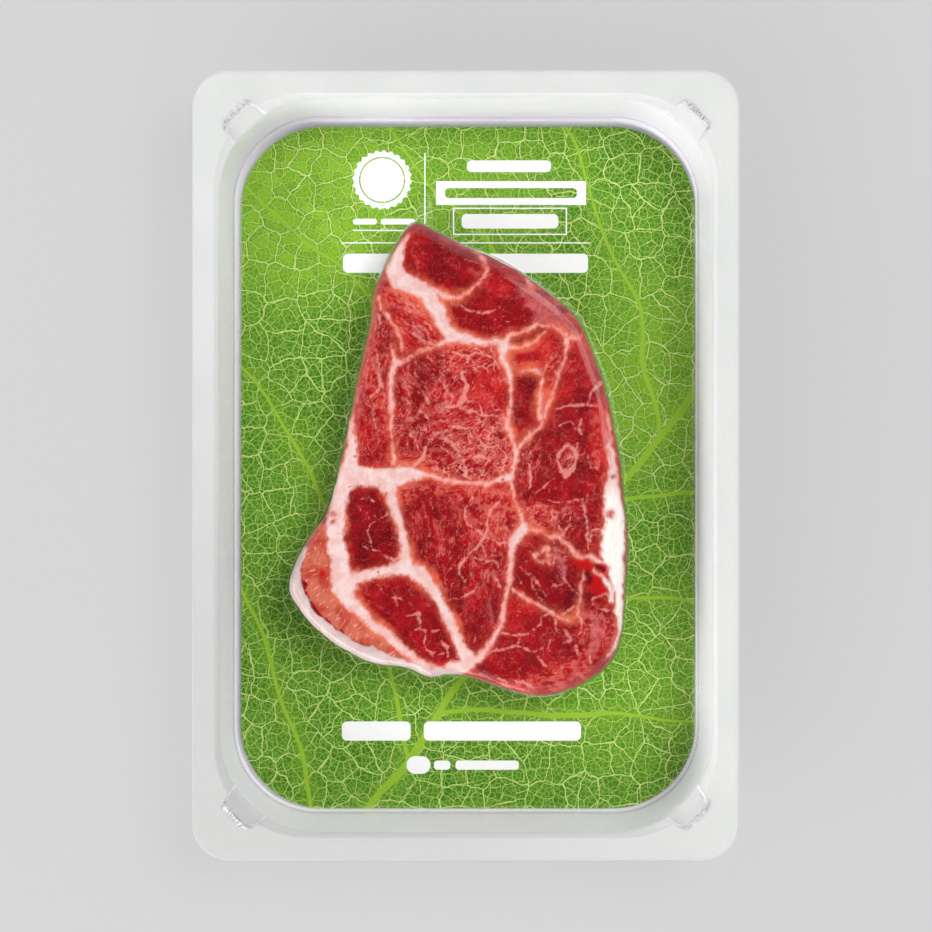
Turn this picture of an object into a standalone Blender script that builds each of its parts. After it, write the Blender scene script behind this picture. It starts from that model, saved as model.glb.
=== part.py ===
"""A meat tray pack: a plastic tray with a flange, a printed card on its floor, a steak on the card,
and a clear skin of film that is drawn down over all of them and sealed to the flange."""

import math

import bmesh
import bpy
import numpy as np
from mathutils import Vector

# Driving dimensions in metres

MM = 0.001
GAP = 0.3 * MM

TRAY_WIDTH = 0.180
TRAY_LENGTH = 0.260
TRAY_HEIGHT = 0.028
TRAY_CORNER = 0.012
TRAY_SHEET = 0.6 * MM
LIP_DROP = 1.3 * MM
LIP_ROUND = 0.4 * MM

WELL_HALF_X = 82.7 * MM
WELL_HALF_Y = 122.5 * MM
WELL_CORNER = 30.2 * MM
LEDGE_DROP = 0.9 * MM
WALL_TOP = 26.9 * MM
WALL_FOOT = 2.1 * MM
PANEL_RISE = 0.8 * MM

LUG_REACH = 4.7 * MM
LUG_HALF_WIDTH = 5.4 * MM
LUG_DEPTH = 5.7 * MM

CARD_HALF_X = 77.9 * MM
CARD_HALF_Y = 117.0 * MM
CARD_CORNER = 28.5 * MM
CARD_THICKNESS = 0.4 * MM
CARD_SHIFT_X = 0.7 * MM
CARD_SHIFT_Y = -0.9 * MM

STEAK_CENTRE_X = -1.0 * MM
STEAK_CENTRE_Y = -3.0 * MM
STEAK_THICKNESS = 20.0 * MM

FILM_SHEET = 0.3 * MM
FILM_CLEARANCE = 0.45 * MM

# Heights that follow from them

PANEL_TOP = TRAY_SHEET + PANEL_RISE
CARD_BOTTOM = PANEL_TOP + GAP
CARD_TOP = CARD_BOTTOM + CARD_THICKNESS
STEAK_BOTTOM = CARD_TOP + GAP
STEAK_TOP = STEAK_BOTTOM + STEAK_THICKNESS

# The widest outline of the steak, anticlockwise from its tip, in millimetres from the tray's centre

STEAK_OUTLINE = [
    (-16.5, 81.0), (-22.0, 76.5), (-27.0, 67.0), (-31.0, 58.0), (-32.2, 48.0), (-35.5, 33.0),
    (-38.5, 18.0), (-41.0, 6.0), (-44.0, -7.0), (-47.0, -16.0), (-51.5, -24.5), (-57.5, -31.0),
    (-59.5, -37.0), (-58.0, -44.5), (-52.0, -53.0), (-42.5, -60.7), (-31.0, -66.2), (-19.0, -68.2),
    (-12.5, -71.0), (-6.0, -70.2), (3.0, -71.3), (15.0, -75.6), (28.0, -77.2), (39.5, -72.8),
    (47.5, -67.0), (51.4, -59.5), (52.8, -50.0), (53.6, -37.0), (54.2, -25.0), (53.0, -14.0),
    (51.8, 0.0), (49.6, 12.0), (46.5, 26.5), (42.0, 39.0), (37.5, 48.8), (30.0, 55.8),
    (20.0, 63.3), (10.0, 69.3), (0.0, 73.3), (-9.5, 78.0),
]

# The steak's edge, as (inset from the outline, height above its underside) in millimetres

STEAK_EDGE = [(2.5, 0.0), (0.4, 2.1), (0.0, 8.6), (0.8, 14.6), (2.6, 18.0), (5.2, 19.6), (9.0, 20.0)]

# The film's bend from the card up to the steak's edge, in the same measures

FILM_BEND = [(-3.0, 0.0), (-1.0, 0.8)]

# Low swellings and hollows of the cut face, as (x, y, radius, height) in millimetres

STEAK_SWELLINGS = [
    (-32, -22, 11, 0.5), (-20, -52, 11, 0.5), (2, -35, 15, 0.5), (34, 0, 14, 0.4),
    (-5, 66, 9, 0.5), (-16, 20, 14, 0.4), (28, -40, 12, 0.5), (-12, -5, 6, -0.5),
    (-9, 50, 6, -0.4), (16, -22, 6, -0.4),
]


def add_material(name, colour, roughness, alpha=1.0):
    """Return a Principled material of one colour."""
    material = bpy.data.materials.new(name)
    material.use_nodes = True
    shader = material.node_tree.nodes["Principled BSDF"]
    shader.inputs["Base Color"].default_value = (*colour, 1.0)
    shader.inputs["Roughness"].default_value = roughness
    shader.inputs["Metallic"].default_value = 0.0
    shader.inputs["Alpha"].default_value = alpha
    return material


def rounded_rectangle(half_x, half_y, corner, height, angles, long_points, short_points, lug=None):
    """Return the points of a rounded rectangle, anticlockwise from the right end of its top right arc.

    Each corner has a point at each of the angles in degrees, and each side has evenly spaced points
    between its two arcs. A lug is a flat stretch across each corner: the middle three points of the
    arc move out to a straight line that lies lug metres from the tray's centre along the diagonal.
    """
    points = []
    middle = len(angles) // 2
    for quarter, (side_x, side_y) in enumerate(((1, 1), (-1, 1), (-1, -1), (1, -1))):
        centre = Vector((side_x * (half_x - corner), side_y * (half_y - corner)))
        outward = Vector((side_x, side_y)) * math.sqrt(0.5)
        along = Vector((-outward.y, outward.x))
        for index, degrees in enumerate(angles):
            angle = math.radians(degrees + 90 * quarter)
            point = centre + corner * Vector((math.cos(angle), math.sin(angle)))
            if lug is not None and abs(index - middle) <= 1:
                reach = lug - abs(centre.x) * math.sqrt(0.5) - abs(centre.y) * math.sqrt(0.5)
                point = centre + reach * outward + (index - middle) * LUG_HALF_WIDTH * along
            points.append(point)
        end = points[-1]
        count = short_points if quarter % 2 == 0 else long_points
        if quarter % 2 == 0:
            following = Vector((-centre.x, end.y))
        else:
            following = Vector((end.x, -centre.y))
        points += [end.lerp(following, step / (count + 1)) for step in range(1, count + 1)]
    return [Vector((point.x, point.y, height)) for point in points]


def loft(name, rings, start=None, end=None):
    """Return a mesh object with faces between successive rings, which run anticlockwise.

    An end is a flat face across its ring ("flat"), a fan of faces to a given point, or open (None).
    """
    build = bmesh.new()
    loops = [[build.verts.new(point) for point in ring] for ring in rings]
    count = len(rings[0])
    for outer, inner in zip(loops, loops[1:]):
        for here in range(count):
            there = (here + 1) % count
            build.faces.new((outer[here], outer[there], inner[there], inner[here]))
    for cap, loop, turned in ((start, loops[0], True), (end, loops[-1], False)):
        if cap == "flat":
            build.faces.new(loop[::-1] if turned else loop)
        elif cap is not None:
            tip = build.verts.new(cap)
            for here in range(count):
                pair = [loop[here], loop[(here + 1) % count]]
                build.faces.new((pair[::-1] if turned else pair) + [tip])
    mesh = bpy.data.meshes.new(name)
    build.to_mesh(mesh)
    build.free()
    mesh.shade_smooth()
    mesh.set_sharp_from_angle(angle=math.radians(35))
    return bpy.data.objects.new(name, mesh)


def add_sheet_thickness(shape, thickness, side):
    """Give an open surface a thickness, on the side that its faces point to (1) or behind it (-1)."""
    shell = shape.modifiers.new("Sheet", "SOLIDIFY")
    shell.thickness = thickness
    shell.offset = side
    shell.use_even_offset = True


def wall_section(height):
    """Return half widths and corner radius of the well's wall at a height: it leans out as it rises."""
    rise = (height - WALL_FOOT) / (WALL_TOP - WALL_FOOT)
    half_x = WELL_HALF_X - (3.4 - 2.0 * rise) * MM
    half_y = WELL_HALF_Y - (3.9 - 2.5 * rise) * MM
    corner = WELL_CORNER - (1.4 - 3.7 * rise) * MM
    return half_x, half_y, corner


def tray_rings():
    """Return the rings of the tray's upper face, from the edge of its lip to the raised floor panel."""
    half_x = TRAY_WIDTH / 2
    half_y = TRAY_LENGTH / 2
    pocket = TRAY_HEIGHT - LUG_DEPTH
    lug = (WELL_HALF_X + WELL_HALF_Y - 2 * WELL_CORNER) * math.sqrt(0.5) + WELL_CORNER + LUG_REACH
    ledge_top = TRAY_HEIGHT - LEDGE_DROP
    slope = 0.4 * MM
    foot_x, foot_y, foot_corner = wall_section(WALL_FOOT)
    ledge_x, ledge_y, ledge_corner = wall_section(WALL_TOP)
    flange_angles = (0, 8, 14, 18, 22, 28, 45, 62, 68, 72, 76, 82, 90)
    well_angles = (0, 10, 20, 28, 32.7, 36, 45, 54, 57.3, 62, 70, 80, 90)
    flange = [
        (half_x, half_y, TRAY_CORNER, TRAY_HEIGHT - LIP_DROP),
        (half_x, half_y, TRAY_CORNER, TRAY_HEIGHT - LIP_ROUND),
        (half_x - LIP_ROUND, half_y - LIP_ROUND, TRAY_CORNER - LIP_ROUND, TRAY_HEIGHT),
    ]
    well = [
        (WELL_HALF_X, WELL_HALF_Y, WELL_CORNER, TRAY_HEIGHT, lug),
        (WELL_HALF_X - slope, WELL_HALF_Y - slope, WELL_CORNER - slope, ledge_top, lug - slope),
        (ledge_x, ledge_y, ledge_corner, WALL_TOP, lug - 2.5 * slope),
        (*wall_section(pocket), pocket, lug - 3.5 * slope),
        (*wall_section(pocket - slope), pocket - slope, None),
        (foot_x, foot_y, foot_corner, WALL_FOOT, None),
        (foot_x - 0.35 * MM, foot_y - 0.35 * MM, foot_corner - 0.35 * MM, 1.25 * MM, None),
        (foot_x - 1.7 * MM, foot_y - 1.7 * MM, foot_corner - 1.7 * MM, TRAY_SHEET, None),
        (foot_x - 7.5 * MM, foot_y - 7.5 * MM, foot_corner - 7.5 * MM, TRAY_SHEET, None),
        (foot_x - 8.5 * MM, foot_y - 8.5 * MM, foot_corner - 8.5 * MM, PANEL_TOP, None),
    ]
    rings = [rounded_rectangle(*section, flange_angles, 1, 1) for section in flange]
    rings += [rounded_rectangle(*section[:4], well_angles, 1, 1, section[4]) for section in well]
    return rings


def add_tray():
    """The tray is thin sheet formed over a mould: flange with a turned-down lip, well, lugs and foot."""
    tray = loft("tray", tray_rings(), end="flat")
    add_sheet_thickness(tray, TRAY_SHEET, -1)
    tray.data.materials.append(add_material("white_plastic", (0.80, 0.81, 0.80), 0.25))
    return tray


def add_print_card():
    """The card is a flat rounded rectangle with a printed upper face."""
    curve = bpy.data.curves.new("print_card", "CURVE")
    curve.dimensions = "2D"
    curve.fill_mode = "BOTH"
    curve.extrude = CARD_THICKNESS / 2
    angles = [6 * step for step in range(16)]
    outline = rounded_rectangle(CARD_HALF_X, CARD_HALF_Y, CARD_CORNER, 0.0, angles, 0, 0)
    spline = curve.splines.new("POLY")
    spline.points.add(len(outline) - 1)
    for place, point in zip(spline.points, outline):
        place.co = (point.x, point.y, 0.0, 1.0)
    spline.use_cyclic_u = True
    card = bpy.data.objects.new("print_card", curve)
    card.location = (CARD_SHIFT_X, CARD_SHIFT_Y, (CARD_BOTTOM + CARD_TOP) / 2)
    card.data.materials.append(add_material("printed_card", (0.12, 0.27, 0.05), 0.35))
    return card


def smooth_closed_line(points, steps):
    """Return a Catmull-Rom line through the points and back to the first, with steps points a span."""
    line = []
    count = len(points)
    for index in range(count):
        before, here, there, after = (Vector(points[(index + shift) % count]) for shift in (-1, 0, 1, 2))
        for step in range(steps):
            t = step / steps
            place = 2 * here + (there - before) * t
            place += (2 * before - 5 * here + 4 * there - after) * t**2
            place += (3 * here - before - 3 * there + after) * t**3
            line.append(place / 2)
    return line


def steak_reaches(bearings):
    """Return how far the steak's outline lies from its centre along each bearing, in metres."""
    centre = Vector((STEAK_CENTRE_X, STEAK_CENTRE_Y))
    line = [Vector(point) * MM - centre for point in smooth_closed_line(STEAK_OUTLINE, 6)]
    angles = np.unwrap([math.atan2(point.y, point.x) for point in line])
    reaches = np.array([point.length for point in line])
    return np.interp(bearings, angles, reaches, period=2 * math.pi)


def cut_face_height(x, y):
    """Return the height of the steak's cut face at a place: a flat top with low swellings and hollows."""
    height = STEAK_TOP
    for centre_x, centre_y, radius, rise in STEAK_SWELLINGS:
        distance = math.hypot(x - centre_x * MM, y - centre_y * MM) / (radius * MM)
        height += rise * MM * math.exp(-(distance**2))
    return height


def bearing_of(x, y):
    """Return the bearing of a place, seen from the steak's centre."""
    return math.atan2(y - STEAK_CENTRE_Y, x - STEAK_CENTRE_X)


def ring_bearings():
    """Return the bearings at which the rings of steak and film have their points.

    They face the points of the film's ring on the card, and the one nearest to the steak's tip is
    moved on to it, so that the tip stays sharp.
    """
    bearings = [bearing_of(point.x, point.y) for point in film_rings_in_tray()[-1]]
    tip = bearing_of(STEAK_OUTLINE[0][0] * MM, STEAK_OUTLINE[0][1] * MM)
    nearest = min(range(len(bearings)), key=lambda index: abs(bearings[index] - tip))
    bearings[nearest] = tip
    return bearings


def steak_ring(bearings, reaches, inset, height):
    """Return a ring that lies a distance inside the steak's outline, measured towards its centre."""
    ring = []
    for bearing, reach in zip(bearings, reaches):
        x = STEAK_CENTRE_X + (reach - inset) * math.cos(bearing)
        y = STEAK_CENTRE_Y + (reach - inset) * math.sin(bearing)
        ring.append(Vector((x, y, height)))
    return ring


def edge_rings(bearings, reaches, profile):
    """Return the rings of a profile of (inset, height above the steak's underside) in millimetres."""
    rings = []
    for inset, height in profile:
        rings.append(steak_ring(bearings, reaches, inset * MM, STEAK_BOTTOM + height * MM))
    return rings


def cut_face_rings(bearings, reaches, lift):
    """Return the rings over the steak's cut face, raised by lift, and the point at their centre."""
    edge = STEAK_EDGE[-1][0] * MM
    rings = []
    for part in (0.66, 0.33):
        ring = steak_ring(bearings, (reaches - edge) * part, 0.0, 0.0)
        for point in ring:
            point.z = cut_face_height(point.x, point.y) + lift
        rings.append(ring)
    height = cut_face_height(STEAK_CENTRE_X, STEAK_CENTRE_Y) + lift
    return rings, Vector((STEAK_CENTRE_X, STEAK_CENTRE_Y, height))


def pushed_out(profile, distance):
    """Return a profile of (inset, height) pairs moved out along its own normals, in the same units."""
    moved = []
    for index, (inset, height) in enumerate(profile):
        before = profile[max(index - 1, 0)]
        after = profile[min(index + 1, len(profile) - 1)]
        run = after[0] - before[0]
        rise = after[1] - before[1]
        length = math.hypot(run, rise)
        moved.append((inset - distance * rise / length, height + distance * run / length))
    return moved


def film_ring(half_x, half_y, corner, height):
    """Return one ring of the film outside the steak."""
    angles = [9 * step for step in range(11)]
    return rounded_rectangle(half_x, half_y, corner, height, angles, 13, 9)


def add_steak(bearings):
    """The steak is a thick slice with rounded edges and a nearly flat cut face."""
    reaches = steak_reaches(bearings)
    rings = edge_rings(bearings, reaches, STEAK_EDGE)
    top_rings, tip = cut_face_rings(bearings, reaches, 0.0)
    steak = loft("steak", rings + top_rings, start="flat", end=tip)
    steak.data.materials.append(add_material("raw_meat", (0.42, 0.03, 0.03), 0.3))
    return steak


def film_rings_in_tray():
    """Return the film's lower face over the flange, down the wall and on to the card."""
    rest = TRAY_HEIGHT + GAP
    inset = 0.5 * MM
    turn = 1.6 * MM
    rings = [
        film_ring(TRAY_WIDTH / 2 - inset, TRAY_LENGTH / 2 - inset, TRAY_CORNER - inset, rest),
        film_ring(WELL_HALF_X - 0.2 * MM, WELL_HALF_Y - 0.2 * MM, WELL_CORNER, rest),
        film_ring(WELL_HALF_X - turn, WELL_HALF_Y - turn, WELL_CORNER + 2.8 * MM, rest - 0.8 * MM),
    ]
    for height in (25.5 * MM, 14.0 * MM, 3.3 * MM):
        half_x, half_y, corner = wall_section(height)
        rings.append(film_ring(half_x - 0.35 * MM, half_y - 0.35 * MM, corner - 0.35 * MM, height))
    half_x, half_y, corner = wall_section(WALL_FOOT)
    for inset, height in ((1.1 * MM, 2.6 * MM), (2.2 * MM, CARD_TOP + GAP)):
        rings.append(film_ring(half_x - inset, half_y - inset, corner - inset, height))
    return rings


def add_skin_film(bearings):
    """The film is a thin skin over the flange, the wall, the card and the steak, close to all of them."""
    reaches = steak_reaches(bearings)
    profile = FILM_BEND + pushed_out(STEAK_EDGE, FILM_CLEARANCE / MM)[2:]
    rings = film_rings_in_tray() + edge_rings(bearings, reaches, profile)
    top_rings, tip = cut_face_rings(bearings, reaches, FILM_CLEARANCE)
    film = loft("skin_film", rings + top_rings, end=tip)
    add_sheet_thickness(film, FILM_SHEET, 1)
    film.data.materials.append(add_material("clear_film", (0.9, 0.9, 0.9), 0.1, alpha=0.2))
    return film


def main():
    for old in list(bpy.data.objects):
        bpy.data.objects.remove(old)
    pack = bpy.data.collections.new("meat_tray_pack")
    bpy.context.scene.collection.children.link(pack)
    bearings = ring_bearings()
    for piece in (add_tray(), add_print_card(), add_steak(bearings), add_skin_film(bearings)):
        pack.objects.link(piece)


main()
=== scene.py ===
# %% [markdown]
# # A steak in a skin pack
# A meat tray pack is a shallow plastic tray with a printed card on its floor, a steak on the card and
# a clear film drawn down tight over everything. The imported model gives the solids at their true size.
# This lesson loads it as a fixed frame and dresses it, piece by piece, with fine surfaces worked out
# with numpy and with materials made of shader nodes.

import math

import bpy
import numpy as np
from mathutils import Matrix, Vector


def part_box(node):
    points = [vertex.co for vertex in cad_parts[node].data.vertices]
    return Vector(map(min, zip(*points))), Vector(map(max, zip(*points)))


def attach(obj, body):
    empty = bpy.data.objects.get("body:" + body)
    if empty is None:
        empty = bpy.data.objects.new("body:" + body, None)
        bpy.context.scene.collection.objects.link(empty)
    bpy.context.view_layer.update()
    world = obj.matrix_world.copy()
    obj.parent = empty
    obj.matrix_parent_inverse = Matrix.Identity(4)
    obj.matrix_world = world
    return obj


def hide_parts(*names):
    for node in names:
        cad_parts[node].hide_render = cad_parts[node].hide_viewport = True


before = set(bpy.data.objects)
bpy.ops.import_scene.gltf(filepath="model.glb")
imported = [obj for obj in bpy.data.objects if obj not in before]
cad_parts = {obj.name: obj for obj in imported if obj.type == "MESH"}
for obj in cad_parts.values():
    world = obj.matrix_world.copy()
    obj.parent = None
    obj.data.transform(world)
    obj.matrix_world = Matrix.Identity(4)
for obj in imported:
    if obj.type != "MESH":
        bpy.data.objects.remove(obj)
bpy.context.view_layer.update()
MM = 0.001
scene = bpy.context.scene

# %% [markdown]
# ## The view
# The photo looks straight down on the pack. A long lens a good half metre above the flange shows the
# walls of the well as narrow bands, as in the photo. The lens follows from how many millimetres of
# the flange one pixel covers.

# %% Camera
PHOTO_PIXELS = 932
FLANGE_MM_PER_PIXEL = 0.3291
CAMERA_HEIGHT = 0.628
SENSOR_MM = 36.0

flange_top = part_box("tray")[1].z
seen_mm = PHOTO_PIXELS * FLANGE_MM_PER_PIXEL
camera_data = bpy.data.cameras.new("camera")
camera_data.sensor_width = SENSOR_MM
camera_data.lens = SENSOR_MM * (CAMERA_HEIGHT - flange_top) / (seen_mm * MM)
camera_data.clip_start = 0.01
camera = bpy.data.objects.new("camera", camera_data)
camera.location = (0.0, -0.0003, CAMERA_HEIGHT)
scene.collection.objects.link(camera)
scene.camera = camera
scene.view_settings.view_transform = "Standard"
print("lens in mm", round(camera_data.lens, 1))

# %% [markdown]
# ## Writing nodes
# A material is a small graph. Written out in full, every node takes four or five lines, so a few
# helpers put a node in, set its options and link its inputs in one call. An input that is given a
# socket is linked to it, and anything else is set as a value.


# %% Node helpers
def put(tree, kind, options=None, inputs=None):
    """Add a node of a kind, set its options, and link or set its inputs. Return the node."""
    made = tree.nodes.new("ShaderNode" + kind)
    for name, value in (options or {}).items():
        setattr(made, name, value)
    for name, value in (inputs or {}).items():
        if isinstance(value, bpy.types.NodeSocket):
            tree.links.new(value, made.inputs[name])
        else:
            made.inputs[name].default_value = value
    return made


def calc(tree, operation, first, second=0.0, third=0.0):
    """Return the result of one Math node."""
    return put(tree, "Math", {"operation": operation}, {0: first, 1: second, 2: third}).outputs[0]


def plus(tree, first, second):
    """Return a node's sum of two values."""
    return calc(tree, "ADD", first, second)


def minus(tree, first, second):
    """Return a node's difference of two values."""
    return calc(tree, "SUBTRACT", first, second)


def times(tree, first, second):
    """Return a node's product of two values."""
    return calc(tree, "MULTIPLY", first, second)


def vector_calc(tree, operation, first, second=(0.0, 0.0, 0.0)):
    """Return the vector of one Vector Math node."""
    return put(tree, "VectorMath", {"operation": operation}, {0: first, 1: second}).outputs[0]


def fade(tree, value, start, end):
    """Return a mask that goes smoothly from 0 where value is at start to 1 where it is at end."""
    inputs = {"Value": value, "From Min": start, "From Max": end}
    return put(tree, "MapRange", {"interpolation_type": "SMOOTHSTEP"}, inputs).outputs[0]


def blend_colours(tree, mask, first, second, way="MIX"):
    """Return the first colour where the mask is 0 and the second where it is 1."""
    made = put(tree, "Mix", {"data_type": "RGBA", "blend_type": way})
    for socket, value in ((made.inputs[0], mask), (made.inputs[6], first), (made.inputs[7], second)):
        if isinstance(value, bpy.types.NodeSocket):
            tree.links.new(value, socket)
        else:
            socket.default_value = value
    return made.outputs[2]


def noise(tree, place, size, detail=2.0, output=0, flat=False):
    """Return smooth noise, about 0.5 on average, whose lumps are size metres wide.

    Flat noise reads x and y only and renders faster.
    """
    options = {"noise_dimensions": "2D" if flat else "3D"}
    inputs = {"Vector": place, "Scale": 1.0 / size, "Detail": detail}
    return put(tree, "TexNoise", options, inputs).outputs[output]


def attribute(tree, name, output=2):
    """Return a value that the mesh carries at its points: output 2 is a number, 1 a vector."""
    return put(tree, "Attribute", {"attribute_name": name}).outputs[output]


def object_place(tree):
    """Return the place on the surface in metres, in the frame of the pack."""
    return put(tree, "TexCoord").outputs["Object"]


def paint(red, green, blue):
    """Return the linear colour of a screen colour given in steps from 0 to 255."""
    screen = np.array([red, green, blue]) / 255.0
    linear = np.where(screen < 0.04045, screen / 12.92, ((screen + 0.055) / 1.055) ** 2.4)
    return (*[float(v) for v in linear], 1.0)


def new_group(name, inputs, outputs):
    """Return a shader node group, its input node and its output node."""
    tree = bpy.data.node_groups.new(name, "ShaderNodeTree")
    for label, kind in inputs:
        tree.interface.new_socket(label, in_out="INPUT", socket_type="NodeSocket" + kind)
    for label, kind in outputs:
        tree.interface.new_socket(label, in_out="OUTPUT", socket_type="NodeSocket" + kind)
    return tree, tree.nodes.new("NodeGroupInput"), tree.nodes.new("NodeGroupOutput")


def use_group(tree, group, inputs):
    """Put a node group into a tree and return its node."""
    made = tree.nodes.new("ShaderNodeGroup")
    made.node_tree = group
    for name, value in inputs.items():
        if isinstance(value, bpy.types.NodeSocket):
            tree.links.new(value, made.inputs[name])
        else:
            made.inputs[name].default_value = value
    return made


def new_material(name, **settings):
    """Return a new material, its node tree and its Principled shader with some plain settings."""
    material = bpy.data.materials.new(name)
    material.use_nodes = True
    tree = material.node_tree
    shader = tree.nodes["Principled BSDF"]
    for label, value in settings.items():
        shader.inputs[label.replace("_", " ")].default_value = value
    return material, tree, shader


def feed(tree, shader, **sockets):
    """Link sockets to the shader's inputs."""
    for label, socket in sockets.items():
        tree.links.new(socket, shader.inputs[label.replace("_", " ")])


def bump(tree, height, strength, distance):
    """Return a normal bent by a height: distance is the height in metres of a step from 0 to 1."""
    return put(tree, "Bump", {}, {"Height": height, "Strength": strength, "Distance": distance}).outputs[0]


print("node helpers ready")

# %% [markdown]
# ## Light and floor
# A studio that photographs glossy film keeps the air straight above it dark and lights it from all
# round, so that the film's flat parts reflect nothing and only its bends and folds catch a glint. A
# world made of a pale ring with a dark top does that and lights the floor evenly. One large soft lamp
# from the upper right gives the steak its soft shadow on the card, and a wide, low one from the near
# left fills the far walls of the well. Neither shows as a patch in the film: only the ring does.

# %% Studio
RING_LIGHT = 0.98
TOP_LIGHT = 0.04
KEY_PLACE, KEY_SIZE, KEY_WATTS = (0.72, 0.50, 1.30), (0.8, 0.8), 7.5
FILL_PLACE, FILL_SIZE, FILL_WATTS = (-0.80, -0.80, 0.45), (2.0, 0.5), 14.0

world = bpy.data.worlds.new("studio")
world.use_nodes = True
scene.world = world
sky = world.node_tree
sky_way = put(sky, "SeparateXYZ", {}, {0: put(sky, "TexCoord").outputs["Generated"]})
sky_height = sky_way.outputs["Z"]
high_ring = fade(sky, sky_height, 0.95, 0.80)
sky_level = calc(sky, "MULTIPLY_ADD", high_ring, RING_LIGHT - TOP_LIGHT, TOP_LIGHT)
sky.links.new(sky_level, sky.nodes["Background"].inputs["Strength"])
sky.nodes["Background"].inputs["Color"].default_value = (1.0, 1.0, 1.0, 1.0)


def add_lamp(name, place, width, depth, watts):
    """Add a flat lamp that faces the pack and whose own shape isn't mirrored in the film."""
    data = bpy.data.lights.new(name, "AREA")
    data.shape = "RECTANGLE"
    data.size, data.size_y, data.energy = width, depth, watts
    lamp = bpy.data.objects.new(name, data)
    lamp.location = place
    lamp.rotation_euler = (-lamp.location).to_track_quat("-Z", "Y").to_euler()
    lamp.visible_glossy = False
    lamp.visible_camera = False
    scene.collection.objects.link(lamp)


add_lamp("key_lamp", KEY_PLACE, *KEY_SIZE, KEY_WATTS)
add_lamp("fill_lamp", FILL_PLACE, *FILL_SIZE, FILL_WATTS)

FLOOR_HALF = 1.5
floor_mesh = bpy.data.meshes.new("floor")
floor_corners = [(-1, -1), (1, -1), (1, 1), (-1, 1)]
floor_mesh.from_pydata([(FLOOR_HALF * x, FLOOR_HALF * y, 0.0) for x, y in floor_corners], [], [(0, 1, 2, 3)])
floor = bpy.data.objects.new("floor", floor_mesh)
scene.collection.objects.link(floor)
floor_paint, tree, shader = new_material("floor_paint", Roughness=0.9, Emission_Strength=1.0)
clouds = noise(tree, object_place(tree), 0.2, 0.0)
shade = blend_colours(tree, clouds, paint(124, 124, 124), paint(127, 127, 127))
glow = blend_colours(tree, clouds, paint(169, 170, 169), paint(172, 172, 172))
feed(tree, shader, Base_Color=shade, Emission_Color=glow)
floor_mesh.materials.append(floor_paint)
print("studio ready: two lamps, one ring of sky, one floor")

# %% [markdown]
# ## Rounded rectangles
# Tray, card and film are all built of rounded rectangles. Such a line is a plain rectangle with a
# disc carried round it: every point of it is a point of the inner rectangle plus the corner radius
# times a heading. On the corners only the heading turns, and on the sides only the inner point moves.
# So a whole tray is one formula over two parameters, the way round and the way down.


# %% Loops and meshes
def loop_columns(arc_degrees, long_steps, short_steps):
    """Return (across, along, heading) for every column round a rounded rectangle, anticlockwise.

    Across and along are the inner point's place between -1 and 1, and heading is in radians. A
    corner has one column for each angle of its arc, and a side has evenly spaced columns.
    """
    parts = []
    signs = ((1, 1), (-1, 1), (-1, -1), (1, -1))
    for quarter in range(4):
        here = np.array(signs[quarter], float)
        there = np.array(signs[(quarter + 1) % 4], float)
        steps = short_steps if quarter % 2 == 0 else long_steps
        share = np.arange(1, steps + 1) / (steps + 1)
        corner = np.repeat(here[:, None], len(arc_degrees), axis=1)
        side = here[:, None] + (there - here)[:, None] * share
        headings = np.concatenate([arc_degrees, np.full(steps, 90.0)]) + 90.0 * quarter
        parts.append(np.vstack([np.hstack([corner, side]), np.radians(headings)]))
    return np.hstack(parts)


def rounded_loops(columns, rings):
    """Return points (rows, columns, 3) of rounded rectangles: inner point plus corner times heading.

    A ring is (half width, half length, corner, height), each a number or an array over the columns.
    """
    across, along, heading = columns
    half_x, half_y, corner, height = (np.asarray(part) for part in rings)
    x = across * (half_x - corner) + corner * np.cos(heading)
    y = along * (half_y - corner) + corner * np.sin(heading)
    return np.stack([x, y, height + 0.0 * x], axis=-1)


def soften(rings, reach, steps):
    """Round a profile's inner corners: near each ring a quadratic curve replaces the sharp turn.

    A curve starts and ends at most reach from its ring and at most half way to the next one.
    """
    rings = np.array(rings, float)
    rows = [rings[:1]]
    t = np.linspace(0.0, 1.0, steps)[:, None]
    for before, here, after, size in zip(rings, rings[1:], rings[2:], reach):
        into, out = before - here, after - here
        start = here + into * min(size / np.linalg.norm(into[[0, 3]]), 0.5)
        end = here + out * min(size / np.linalg.norm(out[[0, 3]]), 0.5)
        rows.append((1 - t) ** 2 * start + 2 * t * (1 - t) * here + t**2 * end)
    rows.append(rings[-1:])
    return np.vstack(rows)


def grid_faces(rows, columns, closed):
    """Return the four-sided faces of a grid of points, row by row, closed round its columns or not."""
    index = np.arange(rows * columns).reshape(rows, columns)
    right = np.roll(index, -1, axis=1)
    faces = np.stack([index[:-1], right[:-1], right[1:], index[1:]], axis=-1)
    if not closed:
        faces = faces[:, :-1]
    return faces.reshape(-1, 4).tolist()


def new_piece(name, points, faces, material):
    """Return a smooth mesh object of the points, in metres, which rides on the pack."""
    mesh = bpy.data.meshes.new(name)
    mesh.from_pydata(points.reshape(-1, 3).tolist(), [], faces)
    mesh.shade_smooth()
    mesh.materials.append(material)
    piece = bpy.data.objects.new(name, mesh)
    scene.collection.objects.link(piece)
    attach(piece, "root")
    print(name, len(mesh.vertices), "points", len(mesh.polygons), "faces")
    return piece


def add_sheet(piece, thickness, side):
    """Give an open surface a thickness in front of its faces (1) or behind them (-1)."""
    sheet = piece.modifiers.new("Sheet", "SOLIDIFY")
    sheet.thickness = thickness
    sheet.offset = side


def add_values(piece, label, values, kind="FLOAT", key="value"):
    """Write a number, or a vector, for every point of a piece, for its material to read."""
    layer = piece.data.attributes.new(label, kind, "POINT")
    layer.data.foreach_set(key, values.ravel().astype(np.float32))


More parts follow.
